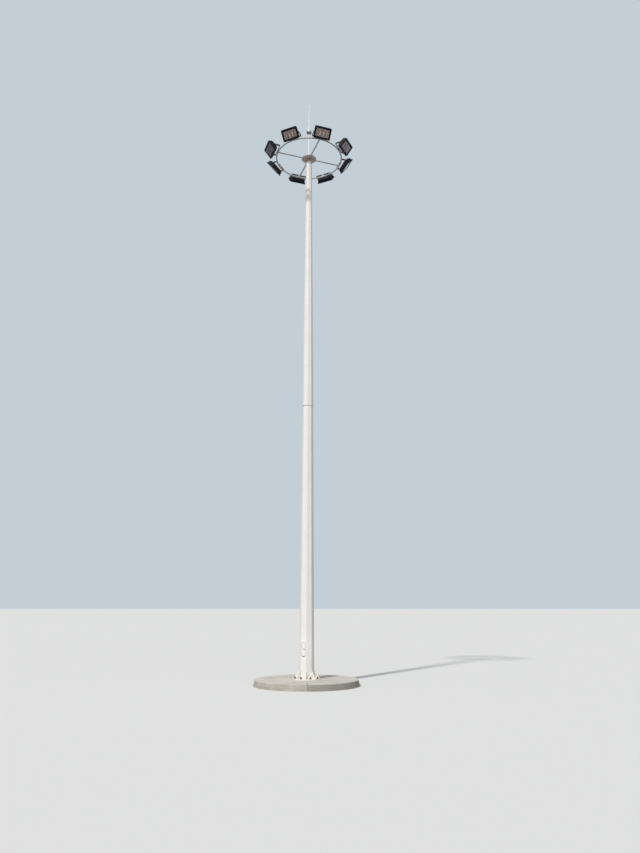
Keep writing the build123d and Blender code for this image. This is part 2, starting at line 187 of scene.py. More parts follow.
def swept(path: Array, radius: Union[float, Array], steps: int, closed: bool = False) -> Surface:
    """Round section carried along a path: p + r (n cos(a) + b sin(a)).

    The tangent is the path's central difference. The direction n is its cross product with the
    normal of the plane that lies closest to the path, and b is square to both.

    Args:
        path: points (n, 3) of the centreline.
        radius: section radius, one or one for each point; zero at an end closes it.
        steps: points round the section.
        closed: the path's end joins its start.

    Returns:
        The tube as a patch.
    """
    plane_normal = np.linalg.svd(path - path.mean(0), full_matrices=False)[2][2]
    tangent = np.roll(path, -1, 0) - np.roll(path, 1, 0) if closed else np.gradient(path, axis=0)
    tangent /= np.linalg.norm(tangent, axis=1, keepdims=True)
    normal = np.cross(tangent, plane_normal)
    normal /= np.linalg.norm(normal, axis=1, keepdims=True)
    angle = np.linspace(0.0, TURN, steps, endpoint=False)[None, :, None]
    ring = normal[:, None] * np.cos(angle) + np.cross(tangent, normal)[:, None] * np.sin(angle)
    r = np.broadcast_to(radius, len(path))[:, None, None]
    return grid(path[:, None] + ring * r, wrap_rows=closed)


def weld_bead(path: Array, radius: float, closed: bool = False, pitch: float = 0.005) -> Surface:
    """Weld bead: a round section whose radius ripples as the puddle froze.

    The radius is r (1 + ripple cos(2 pi s / pitch)), with s the run along the path. At open ends
    it falls to nothing as a circle does over the last two radii.

    Args:
        path: corners of the bead's centreline.
        radius: mean radius in metres.
        closed: the bead runs all round.
        pitch: length of one ripple, drawn long enough to show.

    Returns:
        The bead as a patch.
    """
    line = evenly(path, pitch / 4, closed=closed)
    run = np.arange(len(line)) * pitch / 4
    section = radius * (1.0 + BEAD_RIPPLE * np.cos(TURN * run / pitch))
    if not closed:
        share = np.clip(np.minimum(run, run[::-1]) / (2.0 * radius), 0.0, 1.0)
        section = section * np.sqrt(share * (2.0 - share))
    return swept(line, section, steps=8, closed=closed)


def weld_beads(paths: Sequence[Array], radius: float) -> Surface:
    """Weld beads along several open paths, as one patch."""
    return joined([weld_bead(path, radius) for path in paths])


def rounded_outline(corners: Array, radius: float, per_corner: int = 7) -> Array:
    """Closed outline whose convex corners are arcs that touch both of their sides.

    With u and v the unit directions from a corner to its neighbours and half the angle between
    them called h, the arc's centre lies r / sin(h) along their bisector, and the arc runs from
    one touching point to the other by spherical interpolation.

    Args:
        corners: the sharp corners (n, 2), in order round the outline.
        radius: the arcs' radius.
        per_corner: points on each arc.

    Returns:
        The outline's points (n times per_corner, 2).
    """
    back = np.roll(corners, 1, 0) - corners
    ahead = np.roll(corners, -1, 0) - corners
    u, v = (side / np.linalg.norm(side, axis=1, keepdims=True) for side in (back, ahead))
    half = np.arccos(np.clip((u * v).sum(1, keepdims=True), -1.0, 1.0)) / 2
    bisector = (u + v) / np.linalg.norm(u + v, axis=1, keepdims=True)
    centre = corners + bisector * radius / np.sin(half)
    start, end = ((corners + side * radius / np.tan(half) - centre) / radius for side in (u, v))
    sweep = (math.pi - 2.0 * half)[:, None]
    share = np.linspace(0.0, 1.0, per_corner)[None, :, None]
    arc = start[:, None] * np.sin((1.0 - share) * sweep) + end[:, None] * np.sin(share * sweep)
    return (centre[:, None] + radius * arc / np.sin(sweep)).reshape(-1, 2)


def rectangle(width: float, height: float) -> Array:
    """Sharp corners (4, 2) of a rectangle round the origin."""
    return np.array([[1, 1], [-1, 1], [-1, -1], [1, -1]]) * [width / 2, height / 2]


def raised(outline: Array, height: float) -> Array:
    """A flat outline (n, 2) as points (n, 3) at one height."""
    return np.column_stack([outline, np.full(len(outline), height)])


def octagon(flats: float, height: float) -> Array:
    """Outline of the bent shaft at a height, with a flat towards -Y.

    The sharp corners lie flats / 2 / cos(22.5 degrees) from the axis, and the bends round them.

    Args:
        flats: width across flats.
        height: height above the ground.

    Returns:
        The outline's points (n, 3).
    """
    angle = (np.arange(8) + 0.5) * TURN / 8
    sharp = np.stack([np.cos(angle), np.sin(angle)], -1) * flats / 2 / math.cos(TURN / 16)
    return raised(rounded_outline(sharp, SHAFT_BEND), height)


def circle(radius: float, height: float, steps: int = 48) -> Array:
    """Level circle (steps, 3) round the axis at a height."""
    angle = np.linspace(0.0, TURN, steps, endpoint=False)
    return raised(np.stack([np.cos(angle), np.sin(angle)], -1) * radius, height)


def placing(origin: Sequence[float], across: Sequence[float], outward: Sequence[float]) -> Array:
    """Matrix of a local frame: X across, Z outward, and Y their cross product.

    Args:
        origin: the frame's origin, in metres.
        across: direction of the local X, square to the outward one.
        outward: direction of the local Z.

    Returns:
        The 4 by 4 matrix from the local frame to the tower's.
    """
    x, z = (np.asarray(way, float) / np.linalg.norm(way) for way in (across, outward))
    matrix = np.eye(4)
    matrix[:3] = np.column_stack([x, np.cross(z, x), z, origin])
    return matrix


def rotation(degrees: float, first: int) -> Array:
    """Matrix that turns one axis towards the next.

    Args:
        degrees: the angle.
        first: number of the axis that turns: 0 for X towards Y, 1 for Y towards Z.

    Returns:
        The 4 by 4 matrix.
    """
    c, s = math.cos(math.radians(degrees)), math.sin(math.radians(degrees))
    matrix = np.eye(4)
    matrix[first:first + 2, first:first + 2] = [[c, -s], [s, c]]
    return matrix


def about_z(degrees: float) -> Array:
    """Matrix that turns about the mast's axis."""
    return rotation(degrees, 0)


def about_x(degrees: float) -> Array:
    """Matrix that turns about the local X."""
    return rotation(degrees, 1)


def moved(x: float = 0.0, y: float = 0.0, z: float = 0.0) -> Array:
    """Matrix that moves by a distance."""
    return np.block([[np.eye(3), np.array([[x], [y], [z]])], [np.zeros((1, 3)), 1.0]])


def round_mast(count: int, first: float = 0.0, radius: float = 0.0, height: float = 0.0) -> list[Array]:
    """Matrices of places at even angles round the mast, each with its X away from the axis.

    Args:
        count: number of places.
        first: angle of the first from +X, in degrees.
        radius: distance from the axis.
        height: height above the ground.

    Returns:
        One matrix for each place.
    """
    return [about_z(first + 360.0 / count * index) @ moved(radius, 0.0, height) for index in range(count)]


def uneven(points: Array, size: float, seed: int) -> Array:
    """Smooth unevenness, mostly between -1 and 1: a sum of 20 plane waves cos(k p + f).

    Each k points a random way with a wavelength of 0.7 to 1.6 sizes, and each f is random.

    Args:
        points: array (..., 3) in metres.
        size: usual distance from crest to crest.
        seed: number that fixes the waves.

    Returns:
        One value for each point.
    """
    chance = np.random.default_rng(seed)
    way = chance.normal(size=(20, 3))
    way /= np.linalg.norm(way, axis=1, keepdims=True)
    k = way * TURN / (size * chance.uniform(0.7, 1.6, (20, 1)))
    waves = np.cos(points @ k.T + chance.uniform(0.0, TURN, 20))
    return waves.sum(-1) / math.sqrt(20)


def stiffener_welds(flats: float, taper: float, level: float, reach: float, rise: float,
                    thickness: float, bead: float) -> Surface:
    """Beads along both sides of eight stiffeners, one on each corner of the shaft.

    Each bead runs in along a plate to the shaft's corner, and on along the shaft, which draws in by
    half its taper on the way up.

    Args:
        flats: the shaft's width across flats at the plate.
        taper: loss of that width per metre of height.
        level: height of the plate's face.
        reach: how far out from the axis the stiffeners end.
        rise: how far they run up the shaft; below zero, down it.
        thickness: their thickness.
        bead: radius of the beads.

    Returns:
        All sixteen beads.
    """
    corner = flats / 2 / math.cos(TURN / 16) - BEND_CUT
    side = thickness / 2 + bead / 3
    end = corner - taper / 2 * rise
    paths = [np.array([[reach, y, level], [corner, y, level], [end, y, level + rise]])
             for y in (-side, side)]
    return weld_beads(paths, bead).at_each(round_mast(8, 22.5))


# Fasteners, each standing on z = 0 of its own frame

def hexagon_head(flats: float, height: float, both_ends: bool = False) -> Surface:
    """Hexagon nut or bolt head.

    Its radius is the smaller of the hexagon's, flats / 2 / cos(angle from the nearest flat), and of
    a chamfer's of 30 degrees, 0.48 flats + 1.8 times the depth below the face.

    Args:
        flats: width across flats.
        height: its height.
        both_ends: chamfered below too, as a nut is.

    Returns:
        The closed head.
    """
    steps = 48
    angle = np.linspace(0.0, TURN, steps, endpoint=False)
    from_flat = (angle + TURN / 12) % (TURN / 6) - TURN / 12
    hexagon = flats / 2 / np.cos(from_flat)
    drop = np.array([0.0, 0.025, 0.06, 0.1]) * flats
    z = np.concatenate([drop, height - drop[::-1]])
    from_face = np.minimum(z, height - z) if both_ends else height - z
    chamfer = 0.48 * flats + 1.8 * from_face
    r = np.minimum(hexagon[None, :], chamfer[:, None])
    pole = np.zeros((1, steps))
    return turned(np.concatenate([pole, r, pole]), np.concatenate([[0.0], z, [height]]), steps)


def washer(radius: float, thickness: float) -> Surface:
    """Round washer with its rim bevelled by a seventh of its thickness."""
    edge = thickness / 7
    return turned([0, radius - edge, radius, radius, radius - edge, 0],
                  [0, 0, edge, thickness - edge, thickness, thickness], steps=40)


def socket_screw(radius: float, height: float) -> Surface:
    """Cap-head screw: its rim cut back by a tenth, and a round recess half as wide, 0.55 as deep."""
    r = np.array([0.0, 1.0, 1.0, 0.9, 0.55, 0.5, 0.0]) * radius
    return turned(r, np.array([0.0, 0.0, 0.75, 1.0, 1.0, 0.45, 0.45]) * height, steps=24)


def stud(radius: float, pitch: float, bottom: float, thread_from: float, top: float) -> Surface:
    """Stud whose upper end has a single-start thread.

    The thread's depth is a triangle wave of z / pitch - a / 2 pi, up to 0.6 pitch, and zero at its
    crests. Over the last pitch a bevel of up to 0.8 pitch cuts in, and the deeper of the two counts.

    Args:
        radius: outside radius of the thread.
        pitch: distance between threads.
        bottom: height of the plain end.
        thread_from: height where the thread starts.
        top: height of the threaded end.

    Returns:
        The closed stud.
    """
    steps = 32
    z = np.linspace(thread_from, top, int((top - thread_from) / pitch * 6) + 1)[:, None]
    angle = np.linspace(0.0, TURN, steps, endpoint=False)[None, :]
    depth = 0.6 * pitch * (1.0 - np.abs(2.0 * ((z / pitch - angle / TURN) % 1.0) - 1.0))
    bevel = np.clip(z - (top - pitch), 0.0, pitch) * 0.8
    thread = radius - np.maximum(depth, bevel)
    pole, plain = np.zeros((1, steps)), np.full((2, steps), radius)
    r = np.concatenate([pole, plain, thread, pole])
    return turned(r, np.concatenate([[bottom, bottom, thread_from], z[:, 0], z[-1]]), steps)


def bolt(flats: float, height: float, washer_radius: float, washer_thickness: float) -> Surface:
    """Bolt head on its washer."""
    head = hexagon_head(flats, height).placed(moved(z=washer_thickness))
    return joined([washer(washer_radius, washer_thickness), head])


# Finishes

def linear(code: str) -> tuple[float, float, float, float]:
    """sRGB hex colour as linear red, green, blue and alpha.

    Args:
        code: a hash and six hex digits.

    Returns:
        Four floats.
    """
    channels = np.array([int(code[place:place + 2], 16) for place in (1, 3, 5)]) / 255.0
    values = np.where(channels <= 0.04045, channels / 12.92, ((channels + 0.055) / 1.055) ** 2.4)
    return (*values.tolist(), 1.0)


def add_node(tree: bpy.types.NodeTree, kind: str, inputs: Optional[Mapping[Any, Any]] = None,
             output: Union[int, str] = 0, **settings: Any) -> Optional[Socket]:
    """Adds one shader node with its settings and links.

    Args:
        tree: the nodes of a material or of the world.
        kind: the node's type, without the word ShaderNode.
        inputs: by input name or number, a value or another node's output to link.
        output: name or number of the wanted output.
        settings: the node's own properties.

    Returns:
        The wanted output, or nothing where the node has none.
    """
    node = tree.nodes.new("ShaderNode" + kind)
    for name, value in settings.items():
        setattr(node, name, value)
    for key, value in (inputs or {}).items():
        if isinstance(value, Socket):
            tree.links.new(value, node.inputs[key])
        else:
            node.inputs[key].default_value = value
    return node.outputs[output] if node.outputs else None


@dataclass(frozen=True)
class Fade:
    """A run over which a layer fades: whole up to the start and gone from the end on, in metres.

    The run goes along a way or, where a centre is given, outwards from it.
    """

    start: float
    end: float
    way: tuple[float, float, float] = (0.0, 0.0, 1.0)
    centre: Optional[tuple[float, float, float]] = None

    def kept(self, tree: bpy.types.NodeTree, place: Socket) -> Socket:
        """Share of the layer that is kept, from the run.

        Args:
            tree: the material's nodes.
            place: the object's coordinates.

        Returns:
            The share, from 1 to 0.
        """
        kind, other = ("DISTANCE", self.centre) if self.centre else ("DOT_PRODUCT", self.way)
        run = add_node(tree, "VectorMath", {0: place, 1: other}, "Value", operation=kind)
        return add_node(tree, "MapRange", {
            "Value": run, "From Min": self.start, "From Max": self.end, "To Min": 1.0, "To Max": 0.0,
        }, interpolation_type="SMOOTHSTEP")


@dataclass(frozen=True)
class Layer:
    """A second tone that shows in blotches over what lies under it.

    The blotches are noise of one size in metres, cut between two levels.
    """

    colour: str
    size: float
    low: float
    high: float
    strength: float = 1.0
    detail: float = 5.0
    stretch: tuple[float, float, float] = (1.0, 1.0, 1.0)
    roughness: float = 0.62
    fades: tuple[Fade, ...] = ()

    def over(self, tree: bpy.types.NodeTree, under: Union[Socket, tuple]) -> Socket:
        """Lays the tone over a colour.

        Args:
            tree: the material's nodes.
            under: the colour below, as a value or another node's output.

        Returns:
            The mixed colour.
        """
        place = add_node(tree, "TexCoord", output="Object")
        run = add_node(tree, "Mapping", {"Vector": place, "Scale": self.stretch})
        noise = add_node(tree, "TexNoise", {
            "Vector": run, "Scale": 1.0 / self.size, "Detail": self.detail,
            "Roughness": self.roughness})
        share = add_node(tree, "MapRange", {
            "Value": noise, "From Min": self.low, "From Max": self.high, "To Max": self.strength,
        }, interpolation_type="SMOOTHSTEP")
        for fade in self.fades:
            share = add_node(tree, "Math", {0: share, 1: fade.kept(tree, place)}, operation="MULTIPLY")
        return add_node(tree, "Mix", {0: share, 6: under, 7: linear(self.colour)}, 2, data_type="RGBA")


@dataclass(frozen=True)
class Finish:
    """A surface finish: its colour, gloss, blotches and grain; sizes in metres."""

    name: str
    colour: str
    roughness: float = 0.5
    metallic: float = 0.0
    layers: tuple[Layer, ...] = ()
    smear: float = 0.1
    smear_size: float = 0.06
    smear_levels: tuple[float, float] = (0.3, 0.75)
    grain: float = 0.004
    grain_depth: float = 0.0
    gloss: float = 0.5

    def material(self) -> bpy.types.Material:
        """The finish as a Blender material, made once and then shared."""
        found = bpy.data.materials.get(self.name)
        return found if found is not None else self.make()

    def make(self) -> bpy.types.Material:
        """Makes the material: a principled shader with its blotches, smears and grain.

        Returns:
            The new material.
        """
        made = bpy.data.materials.new(self.name)
        made.use_nodes = True
        tree = made.node_tree
        tree.nodes.clear()
        tone: Any = linear(self.colour)
        for layer in self.layers:
            tone = layer.over(tree, tone)
        inputs = {"Base Color": tone, "Roughness": self.roughness, "Metallic": self.metallic}
        place = add_node(tree, "TexCoord", output="Object")
        if self.smear:
            low, high = self.smear_levels
            noise = add_node(tree, "TexNoise", {
                "Vector": place, "Scale": 1.0 / self.smear_size, "Detail": 4.0})
            inputs["Roughness"] = add_node(tree, "MapRange", {
                "Value": noise, "From Min": low, "From Max": high,
                "To Min": self.roughness - self.smear / 2, "To Max": self.roughness + self.smear / 2})
        if self.grain_depth:
            relief = add_node(tree, "TexNoise", {
                "Vector": place, "Scale": 1.0 / self.grain, "Detail": 3.0})
            inputs["Normal"] = add_node(tree, "Bump", {"Height": relief, "Distance": self.grain_depth})
        shader = add_node(tree, "BsdfPrincipled", {**inputs, **self.shader_values()})
        add_node(tree, "OutputMaterial", {"Surface": self.coated(tree, shader)})
        return made

    def shader_values(self) -> dict[str, Any]:
        """Further values of the principled shader: the strength of its gloss."""
        return {"Specular IOR Level": self.gloss}

    def coated(self, tree: bpy.types.NodeTree, shader: Socket) -> Socket:
        """The shader as it leaves the material, with nothing over it on a plain finish."""
        return shader


@dataclass(frozen=True)
class GlassFinish(Finish):
    """Clear glass under a matt film in patches: dried dust on most floodlights, painted shade on two."""

    dust_and_shade: str = "#A79C90"
    film_least: float = 0.05
    film_most: float = 0.18
    film_size: float = 0.16
    film_levels: tuple[float, float] = (0.35, 0.8)

    def shader_values(self) -> dict[str, Any]:
        """Clear float glass."""
        return {"IOR": 1.52, "Transmission Weight": 1.0}

    def coated(self, tree: bpy.types.NodeTree, shader: Socket) -> Socket:
        """The glass with a matt film over it.

        Args:
            tree: the material's nodes.
            shader: the clear glass.

        Returns:
            The two mixed by the film's patches.
        """
        low, high = self.film_levels
        place = add_node(tree, "TexCoord", output="Object")
        noise = add_node(tree, "TexNoise", {
            "Vector": place, "Scale": 1.0 / self.film_size, "Detail": 2.0})
        share = add_node(tree, "MapRange", {
            "Value": noise, "From Min": low, "From Max": high,
            "To Min": self.film_least, "To Max": self.film_most})
        film = add_node(tree, "BsdfDiffuse", {"Color": linear(self.dust_and_shade)})
        return add_node(tree, "MixShader", {0: share, 1: shader, 2: film})


# Sprayed polyurethane on galvanised plate: a satin white with a faint orange peel, a few rain
# streaks, and splashes and fine rust specks near the ground, the splashes strong enough to be partly
# painted shade; a black painted shadow under the door's foot, and brown painted shade under the head
# plate.
PAINT_GRIME = "#8F8A7E"
MAST_PAINT = Finish(
    "polyurethane_paint_on_mast", "#F1F0EF", 0.4, layers=(
        Layer("#E9E8E5", 0.5, 0.4, 0.7, 0.6, 3.0),
        Layer("#DFDCD8", 0.3, 0.1, 0.4, 0.65, 3.0, fades=(Fade(0.14, 0.75),)),
        Layer(PAINT_GRIME, 0.014, 0.56, 0.8, 0.16, 6.0, (1.0, 1.0, 0.02)),
        # Dirt splashes near the ground, made stronger as painted shade against light thrown up from the
        # foot.
        Layer(PAINT_GRIME, 0.03, 0.45, 0.75, 0.32, 8.0, fades=(Fade(0.14, 0.62),)),
        Layer("#7A4A2C", 0.02, 0.71, 0.76, 0.7, 8.0, fades=(Fade(0.3, 1.6),)),
        # Painted shadow: a black mark under the door's foot.
        Layer("#4A4743", 0.012, 0.2, 0.45, 0.85, 5.0, fades=(
            Fade(0.563, 0.572), Fade(0.050, 0.055, centre=(0.0, -0.142, 0.602)))),
        # Painted shade: brown over the shaft's top tenth of a metre, just under the head plate.
        Layer("#A6968C", 0.09, 0.1, 0.3, 0.9, 5.0, fades=(
            Fade(-12.05, -11.99, (0.0, 0.0, -1.0)), Fade(12.122, 12.13))),
    ), smear=0.14, smear_size=0.09, grain=0.008, grain_depth=0.0002)

# The same paint at the foot, where water stands round the bolts and draws rust out of them.
FOOT_PAINT = Finish(
    "polyurethane_paint_on_foot", "#EBE5DF", 0.45, layers=(
        Layer(PAINT_GRIME, 0.05, 0.4, 0.75, 0.4, 7.0),
        Layer("#7D563A", 0.035, 0.58, 0.72, 0.55, 7.0),
    ), smear=0.16, grain=0.008, grain_depth=0.0002)

# The same paint on the head plate and ribs, browned and darker in blotches as painted shade of the
# underside.
HEAD_PAINT = Finish(
    "polyurethane_paint_on_head", "#EBE5E3", 0.5, layers=(
        Layer("#C2B6B3", 0.09, 0.35, 0.7, 0.7, 6.0),
        Layer("#82736D", 0.03, 0.55, 0.8, 0.45, 7.0),
    ), smear=0.16, grain=0.006, grain_depth=0.0002)

# The same paint on the ring and spokes, greyed in blotches as painted shade of their undersides, with
# rust at a few chips.
TUBE_PAINT = Finish(
    "polyurethane_paint_on_tube", "#BCC0C2", 0.38, layers=(
        Layer("#7E8286", 0.04, 0.4, 0.8, 0.4, 6.0),
        Layer("#7A4A2C", 0.012, 0.7, 0.76, 0.6, 7.0),
    ), smear=0.12, grain=0.006, grain_depth=0.0001)

# Cement render trowelled on cast concrete: matt, sandy, with trowel clouds, darker pores and damp
# marks near the ground. A dark joint runs out from the flange to the front and down the side, and
# from it on one half of the side is darker as painted shade. The sand is drawn at 5 mm so that it shows.
ACROSS_JOINT = (0.887, 0.462, 0.0)
PAINTED_SHADE_WAY = (-0.887, -0.462, 0.0)
BACK_WAY = (-0.462, 0.887, 0.0)
BELOW_EDGE = Fade(0.108, 0.116)
CEMENT = Finish(
    "trowelled_cement_render", "#C6C3BB", 0.9, layers=(
        Layer("#B2AFA6", 0.32, 0.38, 0.66, 0.8, 6.0),
        Layer("#86867E", 0.006, 0.5, 0.78, 0.35, 4.0),
        Layer("#74756D", 0.06, 0.58, 0.78, 0.35, 8.0),
        Layer("#A39E94", 0.3, 0.1, 0.4, 0.6, 4.0, fades=(BELOW_EDGE,)),
        Layer("#8A8A80", 0.16, 0.35, 0.65, 0.5, 5.0, fades=(Fade(0.004, 0.06),)),
        # Painted shade: the half of the side beyond the joint is darker.
        Layer("#787A75", 0.4, 0.1, 0.3, 0.5, 3.0, fades=(BELOW_EDGE, Fade(-0.004, 0.008, PAINTED_SHADE_WAY))),
        Layer("#54554F", 0.03, 0.3, 0.5, 0.85, 4.0, fades=(
            Fade(0.002, 0.0045, ACROSS_JOINT), Fade(0.002, 0.0045, PAINTED_SHADE_WAY),
            Fade(-0.3, -0.28, BACK_WAY))),
    ), smear=0.1, grain=0.005, grain_depth=0.0009)

# Zinc-plated bolts after years outdoors: brown-grey, matt, with rust breaking through.
BOLT_STEEL = Finish(
    "weathered_zinc_plated_bolts", "#50483F", 0.6, 0.6, (
        Layer("#6F4426", 0.012, 0.45, 0.7, 0.8, 6.0),
        Layer("#8B8880", 0.008, 0.62, 0.8, 0.5, 6.0),
    ), grain=0.002, grain_depth=0.0002)

# Zinc-plated steel that is still bright: clear grey metal with a cloudy gloss.
ZINC = Finish("zinc_plated_steel", "#B4B6B4", 0.36, 1.0, (Layer("#8A8C8B", 0.01, 0.4, 0.7, 0.5),),
              smear_size=0.02)

# Steel screws with a black oxide coat: dark grey metal with a dull gloss.
BLACKENED = Finish("black_oxide_steel", "#2E2F32", 0.45, 0.9, smear_size=0.01)

# Mirror-polished stainless steel, spun and buffed, a little dulled outdoors: clear reflections with
# faint water marks, and the lower half darkened in blotches as a painted reflection of dark ground.
STAINLESS = Finish(
    "polished_stainless_steel", "#C4C8CC", 0.15, 1.0, (
        Layer("#8D9195", 0.05, 0.5, 0.75, 0.4),
        # Painted reflection: dark blotches over the ball's lower half.
        Layer("#3E4246", 0.04, 0.15, 0.5, 0.8, fades=(Fade(12.860, 12.885),)),
    ), smear=0.06, smear_size=0.05)

# Drawn aluminium under its own oxide: pale satin metal.
ROD_METAL = Finish("drawn_aluminium", "#CDD0D0", 0.5, 0.8, smear=0.0)

# Black polyester powder coat on die-cast aluminium: blue-black satin with a leathery grain, drawn
# at 4 mm, and dust in patches.
HOUSING_COAT = Finish(
    "powder_coated_die_cast_aluminium", "#070B1A", 0.5, 0.0, (
        Layer("#23262E", 0.05, 0.5, 0.8, 0.3, 6.0),
    ), smear=0.16, grain=0.004, grain_depth=0.00012, gloss=0.2)

# The same coat on bent strap, chalked a little by the sun.
STRAP_COAT = Finish(
    "powder_coated_steel_strap", "#12141C", 0.5, 0.0, (
        Layer("#33363C", 0.04, 0.5, 0.8, 0.3, 6.0),
    ), smear=0.16, grain=0.004, grain_depth=0.0001, gloss=0.25)

# Toughened float glass: clear, sharp in gloss, veiled by dried dust.
LAMP_GLASS = GlassFinish("toughened_float_glass", "#FFFFFF", 0.03, smear=0.0)

# The same glass on the two floodlights, by number, whose windows are darker and bluer: a dark blue
# film over them is painted shade, thin on one and thick on the other.
# Painted shade: a dark blue film over the windows of floodlights 1 and 6.
PAINTED_SHADE_GLASS = {
    number: GlassFinish(f"float_glass_under_{film}_painted_shade", "#FFFFFF", 0.03, smear=0.0, dust_and_shade="#40507A",
                        film_least=least, film_most=most)
    for number, film, least, most in ((1, "thin", 0.12, 0.26), (6, "thick", 0.27, 0.44))
}

# Etched and anodised aluminium sheet that spreads the light: warm grey, soft, without a mirror image.
REFLECTOR = Finish("etched_anodised_aluminium", "#E6D2CB", 0.55, 1.0, smear=0.06, smear_size=0.05)

# Solder mask over the aluminium boards of the light sources: dull brown.
BOARD = Finish("brown_solder_mask", "#4A3B34", 0.6, smear=0.06, smear_size=0.02)

# Silicone resin with phosphor over the chips: matt amber.
PHOSPHOR = Finish("phosphor_silicone_resin", "#A8762E", 0.4, smear=0.08, smear_size=0.01)

# Moulded resin rings that clamp the light sources: dark grey, half matt.
CLAMP_RESIN = Finish("moulded_clamp_resin", "#57504A", 0.5, smear_size=0.01)

# Extruded silicone rubber seals and the moulded polyamide of the cable gland: dull black.
RUBBER = Finish("black_silicone_rubber", "#141416", 0.62, smear_size=0.01)
POLYAMIDE = Finish("moulded_black_polyamide", "#17181B", 0.5, smear_size=0.01)

# A dark bead of painted shade under the upper length's foot: grey and matt, with darker blotches.
PAINTED_SHADE_BEAD = Finish("dark_bead_as_painted_shade", "#6B6965", 0.8, layers=(
    Layer("#3F3D3A", 0.02, 0.4, 0.7, 0.7),), smear_size=0.02)


# Putting finishes and pieces on the frame

def make_piece(name: str, surface: Surface, finish: Finish, body: str = Body.MAST.value,
               replaced: Sequence[str] = (), sharp_degrees: float = 35.0) -> None:
    """Puts a patch into a mesh object, at the origin, that rides on a body.

    Doubles are merged first, so that seams and poles close, and the faces are turned outwards.

    Args:
        name: the piece's name.
        surface: its patch in the tower's frame.
        finish: its surface finish.
        body: the body that it moves with.
        replaced: the frame nodes that it stands in for.
        sharp_degrees: edges that turn by more than this stay sharp.
    """
    mesh = bpy.data.meshes.new(name)
    mesh.from_pydata(surface.points, [], surface.faces)
    shape = bmesh.new()
    shape.from_mesh(mesh)
    bmesh.ops.remove_doubles(shape, verts=shape.verts, dist=MERGE_DISTANCE)
    bmesh.ops.recalc_face_normals(shape, faces=shape.faces)
    shape.to_mesh(mesh)
    shape.free()
    mesh.polygons.foreach_set("use_smooth", np.ones(len(mesh.polygons), bool))
    mesh.set_sharp_from_angle(angle=math.radians(sharp_degrees))
    mesh.materials.append(finish.material())
    piece = bpy.data.objects.new(name, mesh)
    bpy.context.scene.collection.objects.link(piece)
    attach(piece, body)
    if replaced:
        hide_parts(*replaced)
    mesh.calc_loop_triangles()
    log.info("%-32s %7d triangles, rides on %s", name, len(mesh.loop_triangles), body)


@dataclass(frozen=True)
class SubAssembly:
    """A sub-assembly of the tower: it dresses its frame nodes and adds its own pieces."""

    def finishes(self) -> Mapping[str, Finish]:
        """The finish of each frame node, by the node's name."""
        return {}

    def add_pieces(self) -> None:
        """Builds the pieces that it adds; a plain sub-assembly adds none."""

    def dress(self) -> None:
        """Gives each frame node its finish."""
        for node, finish in self.finishes().items():
            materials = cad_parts[node].data.materials
            materials.clear()
            materials.append(finish.material())
            log.info("%-32s dressed in %s", node, finish.name)

    def build(self) -> None:
        """Dresses the frame nodes, then adds the pieces."""
        self.dress()
        self.add_pieces()


